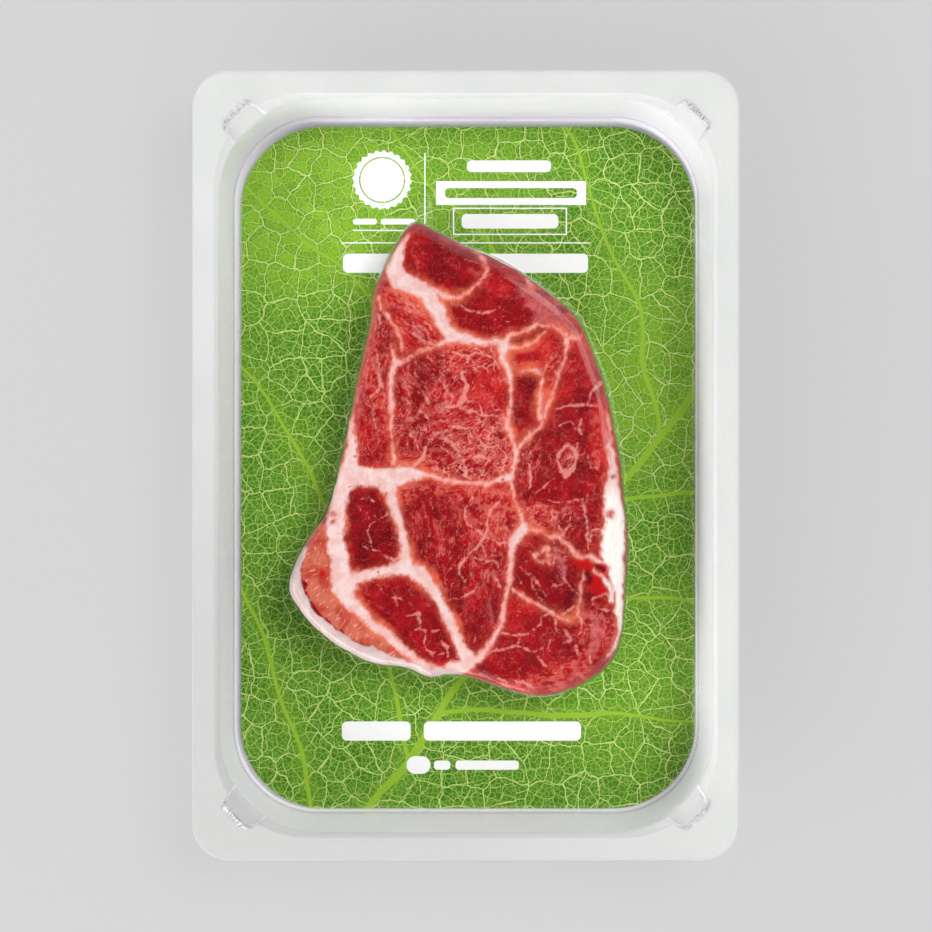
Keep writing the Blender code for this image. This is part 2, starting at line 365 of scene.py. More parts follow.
def lattice_noise(x, y, cell, seed):
    """Return smooth noise between -1 and 1: random values on a lattice, blended by smooth steps."""
    table = np.random.default_rng(seed).uniform(-1.0, 1.0, (64, 64))
    column, row = np.floor(x / cell).astype(int), np.floor(y / cell).astype(int)
    u, v = x / cell - column, y / cell - row
    u, v = u * u * (3 - 2 * u), v * v * (3 - 2 * v)
    low = table[column % 64, row % 64] * (1 - u) + table[(column + 1) % 64, row % 64] * u
    high = table[column % 64, (row + 1) % 64] * (1 - u) + table[(column + 1) % 64, (row + 1) % 64] * u
    return low * (1 - v) + high * v


print("surface helpers ready")

# %% [markdown]
# ## The tray's plastic
# The tray is thin white sheet. Such plastic isn't flat white: it has a fine grain from the mould,
# slight clouds where it was stretched, and tiny bright specks where the film is sealed to it. One
# group makes grain and clouds, because the card's coating uses the same effect with other values.
# Its walls are painted lighter than its flange and tinted lilac, as painted light, and its near left greyer,
# as painted shade.


# %% Grain group and white plastic
def make_grain_group():
    """Grain: clouds of a given size with fine specks over them, as one value between 0 and 1."""
    inputs = [("Place", "Vector"), ("Cloud Size", "Float"), ("Speck Size", "Float"), ("Specks", "Float")]
    group, inside, outside = new_group("surface grain", inputs, [("Value", "Float"), ("Speck", "Float")])
    cloud_scale = calc(group, "DIVIDE", 1.0, inside.outputs["Cloud Size"])
    speck_scale = calc(group, "DIVIDE", 1.0, inside.outputs["Speck Size"])
    cloud = put(group, "TexNoise", {},
                {"Vector": inside.outputs["Place"], "Scale": cloud_scale, "Detail": 1.0})
    speck = put(group, "TexNoise", {},
                {"Vector": inside.outputs["Place"], "Scale": speck_scale, "Detail": 1.0})
    raised = minus(group, speck.outputs[0], 0.5)
    added = calc(group, "MULTIPLY_ADD", raised, inside.outputs["Specks"], cloud.outputs[0])
    group.links.new(added, outside.inputs["Value"])
    group.links.new(speck.outputs[0], outside.inputs["Speck"])
    return group


grain_group = make_grain_group()

plastic, tree, shader = new_material(
    "white_plastic", Specular_IOR_Level=0.25, Subsurface_Weight=0.25, Subsurface_Scale=0.006,
    Subsurface_Radius=(1.0, 1.0, 1.0),
)
place = object_place(tree)
grain = use_group(tree, grain_group,
                  {"Place": place, "Cloud Size": 0.03, "Speck Size": 0.0006, "Specks": 0.8})
clouds = fade(tree, grain.outputs["Value"], 0.25, 0.75)
# Painted light: the walls are painted much lighter than the flange, standing in for light that shines through
# the thin plastic, and tinted lilac against the green light the card throws on them
wall_painted_glow = blend_colours(tree, clouds, paint(242, 238, 250), paint(245, 241, 251))
flange_colour_and_shade = blend_colours(tree, clouds, paint(200, 202, 200), paint(206, 207, 205))
tray_place = put(tree, "SeparateXYZ", {}, {0: place})
# Painted shade: towards the near left the flange is painted greyer, and the walls a little bluer
to_near_left = plus(tree, tray_place.outputs[0], tray_place.outputs[1])
near_left_painted_shade = fade(tree, to_near_left, 0.02, -0.16)
flange_colour_and_shade = blend_colours(tree, near_left_painted_shade, flange_colour_and_shade, paint(183, 184, 182))
wall_painted_glow = blend_colours(tree, near_left_painted_shade, wall_painted_glow, paint(244, 240, 253))
# Faces that point up take the flange's colour, and all others the walls' painted glow
upward = put(tree, "SeparateXYZ", {}, {0: put(tree, "NewGeometry").outputs["Normal"]}).outputs[2]
flat_share = fade(tree, upward, 0.35, 0.85)
shade = blend_colours(tree, flat_share, wall_painted_glow, flange_colour_and_shade)
rough = put(tree, "MapRange", {},
            {"Value": grain.outputs["Value"], "To Min": 0.30, "To Max": 0.42}).outputs[0]
feed(tree, shader, Base_Color=shade, Roughness=rough)
feed(tree, shader, Normal=bump(tree, grain.outputs["Speck"], 0.25, 0.00006))
print("plastic ready")

# %% [markdown]
# ## The tray
# The tray is formed over a mould: a flat flange with a turned-down lip, a small ledge under the rim,
# a wall that leans out, a lug pocket across each corner, a foot ring and a raised floor panel. A
# sculpted box would be slow to keep true, so each level of the profile is a rounded rectangle, the
# turns are softened, and a Solidify modifier gives the sheet its thickness. In a corner the lug pulls
# the loop out to a straight line across the diagonal.

# %% Tray profile
TRAY_SHEET = 0.6
LUG_ROOT_DEGREES = 13.6
LUG_TOP_DEGREES = 9.2
WELL_X, WELL_Y, WELL_CORNER = 82.7, 122.5, 30.2
WALL_TOP, WALL_FOOT = 26.9, 2.1
LUG_REACH = 2.5
LUG_LINE = (WELL_X + WELL_Y - 2 * WELL_CORNER) * math.sqrt(0.5) + WELL_CORNER + LUG_REACH

tray_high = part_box("tray")[1]
flange_x, flange_y, flange_z = tray_high.x / MM, tray_high.y / MM, tray_high.z / MM
FLANGE_CORNER = 12.0
LIP_DROP = 1.3
RING_OUTER, RING_INNER = 1.7, 7.5
PANEL_OUTER, PANEL_INNER, PANEL_HEIGHT = 8.5, 14.0, 1.4


def wall_section(level):
    """Half width, half length and corner of the well's wall at a height: it leans out as it rises."""
    rise = (level - WALL_FOOT) / (WALL_TOP - WALL_FOOT)
    return WELL_X - 3.4 + 2.0 * rise, WELL_Y - 3.9 + 2.5 * rise, WELL_CORNER - 1.4 + 3.7 * rise


def shrunk(section, inset):
    """A rounded rectangle moved in on all sides by inset."""
    return tuple(part - inset for part in section)


foot = wall_section(WALL_FOOT)
# Each ring is (half width, half length, corner, height, lug line, share of the lug)
tray_profile = [
    (flange_x, flange_y, FLANGE_CORNER, flange_z - LIP_DROP, LUG_LINE, 0.0),
    (flange_x, flange_y, FLANGE_CORNER, flange_z, LUG_LINE, 0.0),
    (flange_x - 2.6, flange_y - 2.6, 10.4, flange_z, LUG_LINE, 0.0),
    (flange_x - 3.2, flange_y - 3.2, 10.2, flange_z, LUG_LINE, 0.0),
    (flange_x - 4.2, flange_y - 4.2, 26.0, flange_z, LUG_LINE, 0.0),
    (WELL_X + 0.6, WELL_Y + 0.6, WELL_CORNER + 0.6, flange_z, LUG_LINE + 0.6, 1.0),
    (WELL_X, WELL_Y, WELL_CORNER, flange_z, LUG_LINE, 1.0),
    (WELL_X - 0.4, WELL_Y - 0.4, WELL_CORNER - 0.4, flange_z - 0.6, LUG_LINE - 0.8, 1.0),
    (*wall_section(WALL_TOP), WALL_TOP, LUG_LINE - 1.6, 1.0),
    (*wall_section(26.5), 26.5, LUG_LINE - 2.4, 1.0),
    (*wall_section(26.1), 26.1, LUG_LINE - 3.6, 1.0),
    (*wall_section(25.2), 25.2, LUG_LINE - 4.4, 0.0),
    (*wall_section(12.0), 12.0, LUG_LINE - 2.4, 0.0),
    (*foot, WALL_FOOT, LUG_LINE - 2.4, 0.0),
    (*shrunk(foot, RING_OUTER), TRAY_SHEET, LUG_LINE - 2.4, 0.0),
    (*shrunk(foot, RING_INNER), TRAY_SHEET, LUG_LINE - 2.4, 0.0),
    (*shrunk(foot, PANEL_OUTER), PANEL_HEIGHT, LUG_LINE - 2.4, 0.0),
    (*shrunk(foot, PANEL_INNER), PANEL_HEIGHT, LUG_LINE - 2.4, 0.0),
]
turn_reach = [0.45, 0.5, 0.1, 0.3, 0.3, 0.5, 0.5, 0.5, 0.8, 0.6, 0.6, 1.0, 1.6, 1.2, 0.5, 0.4]
tray_rings = soften(tray_profile, turn_reach, 6)
print("tray profile", len(tray_rings), "rings")


# %% Tray surface
def tray_points(columns, rings):
    """Rounded rectangles whose corner radius grows to the lug line near the diagonal.

    The radius is corner + share (line / cos(angle off the diagonal) - corner), where line is the lug
    line's distance from the corner's centre and the share falls smoothly to 0 at the lug's root.
    """
    off_diagonal = np.abs(np.degrees(columns[2]) % 90.0 - 45.0)
    share = np.clip((LUG_ROOT_DEGREES - off_diagonal) / (LUG_ROOT_DEGREES - LUG_TOP_DEGREES), 0.0, 1.0)
    share = share * share * (3 - 2 * share)
    half_x, half_y, corner, level, line, lug = (rings[:, part, None] for part in range(6))
    line = line - (half_x + half_y - 2 * corner) * math.sqrt(0.5)
    reach = corner + share * lug * (line / np.cos(np.radians(off_diagonal)) - corner)
    across, along, heading = columns
    x = across * (half_x - corner) + reach * np.cos(heading)
    y = along * (half_y - corner) + reach * np.sin(heading)
    return np.stack([x, y, level + 0.0 * x], axis=-1)


lug_degrees = np.linspace(31.0, 59.0, 41)
arc_degrees = np.concatenate([np.linspace(0, 30, 11), lug_degrees, np.linspace(60, 90, 11)])
tray_columns = loop_columns(arc_degrees, 26, 16)
points = tray_points(tray_columns, tray_rings) * MM
rows, count = points.shape[:2]
floor_panel = list(range((rows - 1) * count, rows * count))
faces = grid_faces(rows, count, closed=True) + [floor_panel]
tray = new_piece("tray_shell", points, faces, plastic)
add_sheet(tray, TRAY_SHEET * MM, -1)
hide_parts("tray")

# %% [markdown]
# ## The printed card
# The card shows a leaf seen close to: a midrib, curved side veins, and between them a net of finer
# and finer veins. A leaf's net looks like soap bubbles pressed together, and so does a Voronoi
# pattern: the distance to the nearest cell edge gives the vein, and a little noise added to the place
# beforehand bends the edges. Midrib and side veins follow one formula. The print on top is plain: a
# seal, measured by its distance from a centre, and rules and bars, each made by a group that measures
# the distance to a rounded box.


# %% Card groups
def make_net_group():
    """Vein net: 1 on the edges of bent Voronoi cells of a given size, falling to 0 at the width.

    Shade is a wider band round the vein, and Cell is a random colour for each cell.
    """
    inputs = [("Place", "Vector"), ("Size", "Float"), ("Width", "Float"), ("Bend", "Float")]
    outputs = [("Vein", "Float"), ("Shade", "Float"), ("Cell", "Color")]
    group, inside, outside = new_group("vein net", inputs, outputs)
    scale = calc(group, "DIVIDE", 1.0, inside.outputs["Size"])
    wave_inputs = {"Vector": inside.outputs["Place"], "Scale": times(group, scale, 1.6), "Detail": 1.0}
    wave = put(group, "TexNoise", {"noise_dimensions": "2D"}, wave_inputs)
    push = vector_calc(group, "SUBTRACT", wave.outputs[1], (0.5, 0.5, 0.5))
    amount = times(group, inside.outputs["Bend"], inside.outputs["Size"])
    push = put(group, "VectorMath", {"operation": "SCALE"}, {0: push, "Scale": amount}).outputs[0]
    bent = vector_calc(group, "ADD", inside.outputs["Place"], push)
    options = {"feature": "DISTANCE_TO_EDGE", "voronoi_dimensions": "2D"}
    edge = put(group, "TexVoronoi", options, {"Vector": bent, "Scale": scale}).outputs["Distance"]
    cells = put(group, "TexVoronoi", {"voronoi_dimensions": "2D"}, {"Vector": bent, "Scale": scale})
    distance = times(group, edge, inside.outputs["Size"])
    near = calc(group, "DIVIDE", distance, inside.outputs["Width"])
    group.links.new(fade(group, near, 1.0, 0.35), outside.inputs["Vein"])
    group.links.new(fade(group, near, 2.8, 0.9), outside.inputs["Shade"])
    group.links.new(cells.outputs["Color"], outside.inputs["Cell"])
    return group


def make_bar_group():
    """Printed bar: 1 inside a rounded box about a centre, 0 outside it, with a crisp edge."""
    inputs = [("Place", "Vector"), ("Centre", "Vector"), ("Half Size", "Vector"), ("Corner", "Float")]
    group, inside, outside = new_group("printed bar", inputs, [("Ink", "Float")])
    off = vector_calc(group, "SUBTRACT", inside.outputs["Place"], inside.outputs["Centre"])
    off = vector_calc(group, "ABSOLUTE", off)
    inner = vector_calc(group, "SUBTRACT", off, inside.outputs["Half Size"])
    corner = put(group, "CombineXYZ", {},
                 {0: inside.outputs["Corner"], 1: inside.outputs["Corner"]}).outputs[0]
    inner = vector_calc(group, "ADD", inner, corner)
    parts = put(group, "SeparateXYZ", {}, {0: vector_calc(group, "MAXIMUM", inner)})
    flat = put(group, "CombineXYZ", {}, {0: parts.outputs[0], 1: parts.outputs[1]}).outputs[0]
    length = put(group, "VectorMath", {"operation": "LENGTH"}, {0: flat}).outputs["Value"]
    distance = minus(group, length, inside.outputs["Corner"])
    group.links.new(fade(group, distance, 0.06 * MM, -0.06 * MM), outside.inputs["Ink"])
    return group


net_group = make_net_group()
bar_group = make_bar_group()
print("card groups ready")

# %% [markdown]
# The leaf's large veins come from one midrib that crosses the card on a slant. Turned into the
# midrib's own axes, s runs along it and t across it, and the side veins are where s - 0.9|t| + a
# little t squared passes a whole number of steps. The two sides are half a step apart.

# %% Leaf material
MIDRIB_TURN = math.radians(38.0)
MIDRIB_SHIFT = (-46.0 * MM, 22.0 * MM, 0.0)
SIDE_VEIN_STEP = 47.0 * MM
# Each patch is (x, y, radius, share, colour), in millimetres
LEAF_PATCHES = [
    (-55, 92, 56, 0.90, paint(154, 206, 46)), (6, 96, 36, 0.65, paint(138, 190, 50)),
    (66, 30, 52, 0.75, paint(140, 190, 42)), (-44, 26, 38, 0.50, paint(64, 112, 32)),
    (-60, -62, 40, 0.35, paint(72, 124, 34)), (0, -112, 60, 0.45, paint(66, 120, 34)),
    (66, -70, 44, 0.50, paint(122, 172, 44)), (70, 100, 26, 0.5, paint(72, 124, 32)),
]

card_coat, tree, shader = new_material("printed_card", Specular_IOR_Level=0.1, Roughness=0.4)
place = object_place(tree)
wander = vector_calc(tree, "SUBTRACT", noise(tree, place, 0.045, 1.0, output=1, flat=True), (0.5, 0.5, 0.5))
wander = put(tree, "VectorMath", {"operation": "SCALE"}, {0: wander, "Scale": 0.012}).outputs[0]
bent = vector_calc(tree, "ADD", place, wander)
turned = put(tree, "Mapping", {}, {"Vector": bent, "Location": MIDRIB_SHIFT, "Rotation": (0, 0, MIDRIB_TURN)})
rib_place = put(tree, "SeparateXYZ", {}, {0: turned.outputs[0]})
s, t = rib_place.outputs[1], rib_place.outputs[0]
t_size = calc(tree, "ABSOLUTE", t)
arc = calc(tree, "MULTIPLY_ADD", times(tree, t_size, t_size), 3.0, times(tree, t_size, -0.95))
side = times(tree, calc(tree, "GREATER_THAN", t, 0.0), 0.60)
steps = plus(tree, calc(tree, "DIVIDE", plus(tree, s, arc), SIDE_VEIN_STEP), side)
off_vein = calc(tree, "ABSOLUTE", minus(tree, calc(tree, "FRACT", steps), 0.5))
off_vein = times(tree, off_vein, SIDE_VEIN_STEP * 0.72)
side_width = put(tree, "MapRange", {},
                 {"Value": t_size, "From Max": 0.11, "To Min": 0.00085, "To Max": 0.0004})
side_vein = fade(tree, calc(tree, "DIVIDE", off_vein, side_width.outputs[0]), 1.0, 0.6)
midrib = fade(tree, t_size, 0.0014, 0.0009)
main_vein = calc(tree, "MAXIMUM", midrib, side_vein)
halo = fade(tree, calc(tree, "MINIMUM", off_vein, t_size), 0.006, 0.0)

net_values = [("wide", 0.0098, 0.00028, 0.30), ("middle", 0.0042, 0.00023, 0.32),
              ("fine", 0.0017, 0.00021, 0.4)]
nets = {}
for label, size, width, bend in net_values:
    nets[label] = use_group(tree, net_group, {"Place": place, "Size": size, "Width": width, "Bend": bend})

patches = fade(tree, noise(tree, place, 0.04, 2.0, flat=True), 0.35, 0.65)
leaf = blend_colours(tree, patches, paint(76, 130, 32), paint(92, 148, 38))
for patch_x, patch_y, patch_radius, share, colour in LEAF_PATCHES:
    flat = put(tree, "VectorMath", {"operation": "MULTIPLY"}, {0: bent, 1: (1.0, 1.0, 0.0)}).outputs[0]
    away = put(tree, "VectorMath", {"operation": "DISTANCE"}, {0: flat, 1: (patch_x * MM, patch_y * MM, 0.0)})
    near = fade(tree, away.outputs["Value"], patch_radius * MM, patch_radius * 0.2 * MM)
    leaf = blend_colours(tree, times(tree, near, share), leaf, colour)
cell_shade = put(tree, "SeparateColor", {}, {0: nets["middle"].outputs["Cell"]}).outputs[0]
leaf = blend_colours(tree, times(tree, cell_shade, 0.45), leaf, paint(60, 112, 32))
fine_shade = put(tree, "SeparateColor", {}, {0: nets["fine"].outputs["Cell"]}).outputs[0]
leaf = blend_colours(tree, times(tree, fine_shade, 0.35), leaf, paint(116, 168, 50))
vein_layers = [
    ("middle", "Shade", 0.40, paint(46, 96, 30)), ("wide", "Shade", 0.48, paint(42, 92, 30)),
    ("fine", "Vein", 0.62, paint(156, 200, 80)), ("middle", "Vein", 0.85, paint(182, 214, 104)),
    ("wide", "Vein", 0.92, paint(206, 228, 132)),
]
for label, output, share, colour in vein_layers:
    leaf = blend_colours(tree, times(tree, nets[label].outputs[output], share), leaf, colour)
leaf = blend_colours(tree, times(tree, halo, 0.30), leaf, paint(128, 176, 44))
leaf = blend_colours(tree, main_vein, leaf, paint(152, 194, 56))

# %% [markdown]
# The words on the card are left out. Their places hold a scalloped seal, rules, a band and bars of
# the lines' lengths and heights, all white. Places are millimetres from the tray's centre.

# %% Print on the card
# Each bar is (left, bottom, right, top, corner)
PRINT_BARS = [
    (-38.8, 82.6, -30.6, 84.6, 0.9), (-29.2, 82.6, -17.5, 84.6, 0.9), (-38.8, 80.4, -17.5, 80.8, 0.1),
    (-14.3, 81.4, -13.9, 107.2, 0.1), (0.3, 100.6, 29.2, 104.6, 1.6), (-10.3, 89.3, 41.2, 97.5, 0.2),
    (-42.6, 76.1, 42.6, 76.5, 0.1), (-42.2, 66.0, -3.0, 72.6, 1.8), (2.0, 66.0, 41.9, 72.6, 1.8),
    (-42.6, -94.6, -19.0, -88.0, 1.8), (-14.5, -94.6, 39.5, -88.0, 1.8),
    (-11.0, -104.6, -5.4, -101.4, 1.2), (-3.6, -104.6, 18.2, -101.4, 1.2), (-20.4, -106.0, -12.2, -99.9, 3.0),
]
PRINT_BOX = (-4.5, 79.0, 34.7, 88.4)
BOX_LINE = 0.45
SEAL_X, SEAL_Y, SEAL_RADIUS = -28.8, 97.9, 9.9


def bar_ink(left, bottom, right, top, corner):
    """The ink of one bar of the print, given in millimetres."""
    centre = ((left + right) / 2 * MM, (bottom + top) / 2 * MM, 0.0)
    half_size = ((right - left) / 2 * MM, (top - bottom) / 2 * MM, 1.0)
    inputs = {"Place": place, "Centre": centre, "Half Size": half_size, "Corner": corner * MM}
    return use_group(tree, bar_group, inputs).outputs["Ink"]


ink = bar_ink(*PRINT_BARS[0])
for bar in PRINT_BARS[1:]:
    ink = calc(tree, "MAXIMUM", ink, bar_ink(*bar))
left, bottom, right, top = PRINT_BOX
frame_outside = bar_ink(left, bottom, right, top, 0.3)
frame_inside = bar_ink(left + BOX_LINE, bottom + BOX_LINE, right - BOX_LINE, top - BOX_LINE, 0.1)
ink = calc(tree, "MAXIMUM", ink, minus(tree, frame_outside, frame_inside))
ink = calc(tree, "MAXIMUM", ink, bar_ink(left + 3.0, bottom + 2.2, right - 3.0, top - 2.2, 1.6))
band_cut = bar_ink(-7.2, 91.7, 38.1, 95.1, 1.4)
ink = minus(tree, ink, band_cut)

from_seal = vector_calc(tree, "SUBTRACT", place, (SEAL_X * MM, SEAL_Y * MM, 0.0))
seal_place = put(tree, "SeparateXYZ", {}, {0: from_seal})
flat = put(tree, "CombineXYZ", {}, {0: seal_place.outputs[0], 1: seal_place.outputs[1]}).outputs[0]
seal_distance = put(tree, "VectorMath", {"operation": "LENGTH"}, {0: flat}).outputs["Value"]
turn = calc(tree, "ARCTAN2", seal_place.outputs[1], seal_place.outputs[0])
scallop = times(tree, calc(tree, "SINE", times(tree, turn, 24.0)), 0.35 * MM)
rim = plus(tree, seal_distance, scallop)
seal = fade(tree, rim, (SEAL_RADIUS + 0.06) * MM, (SEAL_RADIUS - 0.06) * MM)
groove = calc(tree, "ABSOLUTE", minus(tree, seal_distance, (SEAL_RADIUS - 2.2) * MM))
groove = fade(tree, groove, 0.28 * MM, 0.20 * MM)
seal = minus(tree, seal, groove)
ink = put(tree, "Math", {"operation": "MAXIMUM", "use_clamp": True}, {0: ink, 1: seal}).outputs[0]

printed = blend_colours(tree, ink, leaf, paint(254, 255, 253))
geometry = put(tree, "NewGeometry")
facing = put(tree, "SeparateXYZ", {}, {0: geometry.outputs["Normal"]}).outputs[2]
printed = blend_colours(tree, fade(tree, facing, 0.2, 0.6), paint(238, 238, 234), printed)
grain = use_group(tree, grain_group,
                  {"Place": place, "Cloud Size": 0.02, "Speck Size": 0.0004, "Specks": 0.6})
rough = put(tree, "MapRange", {},
            {"Value": grain.outputs["Value"], "To Min": 0.34, "To Max": 0.50}).outputs[0]
feed(tree, shader, Base_Color=printed, Roughness=rough,
     Normal=bump(tree, grain.outputs["Speck"], 0.15, 0.00003))

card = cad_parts["print_card"]
for socket in range(len(card.material_slots)):
    card.material_slots[socket].material = card_coat
print("card dressed, slots", len(card.material_slots))

# %% [markdown]
# ## Discs of points
# Steak and film are both domed discs. A polar grid would have a pole that shows as a star in a glossy
# surface, so the grid is a square whose points are moved on to a disc: a point's distance from the
# centre is the larger of its two square coordinates, and its bearing runs evenly along each side of
# its square ring. Every ring of the square becomes a ring of the disc, with no pole.


# %% Disc grid
def disc_grid(count):
    """Return (distance from 0 to 1, bearing in radians) for a square grid of count by count points.

    The distance is max(|a|, |b|). The bearing is a quarter turn's share b/a on the left and right
    sides of the square and a/b on the other two.
    """
    a, b = np.meshgrid(np.linspace(-1, 1, count), np.linspace(-1, 1, count))
    wide = np.abs(a) > np.abs(b)
    with np.errstate(divide="ignore", invalid="ignore"):
        bearing_wide = np.pi / 4 * b / a + np.where(a < 0, np.pi, 0.0)
        bearing_high = np.pi / 2 - np.pi / 4 * a / b + np.where(b < 0, np.pi, 0.0)
    bearing = np.where(wide, bearing_wide, bearing_high)
    return np.maximum(np.abs(a), np.abs(b)), np.nan_to_num(bearing)


def rim_of_grid(count):
    """Return the indices of a square grid's outermost points, in order round it, anticlockwise."""
    index = np.arange(count * count).reshape(count, count)
    sides = [index[0, :-1], index[:-1, -1], index[-1, :0:-1], index[:0:-1, 0]]
    return np.concatenate(sides).tolist()


def smooth_line(points, steps):
    """Return a Catmull-Rom line through an open row of points: a cubic between each two of them."""
    points = np.array(points, float)
    padded = np.vstack([2 * points[0] - points[1], points, 2 * points[-1] - points[-2]])
    before, here, there, after = (padded[shift : shift + len(points) - 1, None] for shift in range(4))
    t = (np.arange(steps) / steps)[None, :, None]
    line = 2 * here + (there - before) * t + (2 * before - 5 * here + 4 * there - after) * t**2
    line = (line + (3 * here - before - 3 * there + after) * t**3) / 2
    return np.vstack([line.reshape(-1, points.shape[1]), points[-1:]])


def along_line(line, share):
    """Return the points of a line at given shares, 0 to 1, of its length."""
    lengths = np.concatenate([[0.0], np.cumsum(np.linalg.norm(np.diff(line, axis=0), axis=1))])
    lengths = lengths / lengths[-1]
    return [np.interp(share, lengths, line[:, part]) for part in range(line.shape[1])]


print("disc grid ready")

# %% [markdown]
# ## The steak's outline
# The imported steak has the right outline, as a ring of flat facets. Its widest ring is read from the
# frame, and a smooth curve through that ring, with a few tenths of a millimetre of unevenness, gives
# the cut edge back its softness.

# %% Outline from the frame
STEAK_X, STEAK_Y = -1.0, -3.0
WIDEST_LEVEL = 11.0 * MM
EDGE_INSET = 9.0

node_points = np.array([v.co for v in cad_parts["steak"].data.vertices])
widest = np.unique(np.round(node_points[np.abs(node_points[:, 2] - WIDEST_LEVEL) < 0.01 * MM], 7), axis=0)
ring_x, ring_y = widest[:, 0] / MM - STEAK_X, widest[:, 1] / MM - STEAK_Y
order = np.argsort(np.arctan2(ring_y, ring_x))
ring_bearing = np.arctan2(ring_y, ring_x)[order]
ring_reach = np.hypot(ring_x, ring_y)[order]
wrapped_bearing = np.concatenate([ring_bearing[-3:] - 2 * np.pi, ring_bearing, ring_bearing[:3] + 2 * np.pi])
wrapped_reach = np.concatenate([ring_reach[-3:], ring_reach, ring_reach[:3]])
outline = smooth_line(np.stack([wrapped_bearing, wrapped_reach], axis=1), 8)


def steak_reach(bearing):
    """Return how far the steak's outline lies from its centre along a bearing, in millimetres."""
    bearing = (bearing + np.pi) % (2 * np.pi) - np.pi
    return np.interp(bearing, outline[:, 0], outline[:, 1])


print("outline has", len(widest), "points, reach in mm", ring_reach.min().round(1), ring_reach.max().round(1))

# %% [markdown]
# ## What the cut face shows
# A shoulder steak is several muscles held together by seams of fat. The seams are read off the photo
# as strokes of a broad brush: each stroke is a few places with the brush's radius there. How deep a
# point lies inside the nearest stroke is a smooth value, so the mesh carries it at its points and the
# shader cuts a crisp, frayed edge from it. Muscles are patches with their own tone, marbling and
# direction of grain.

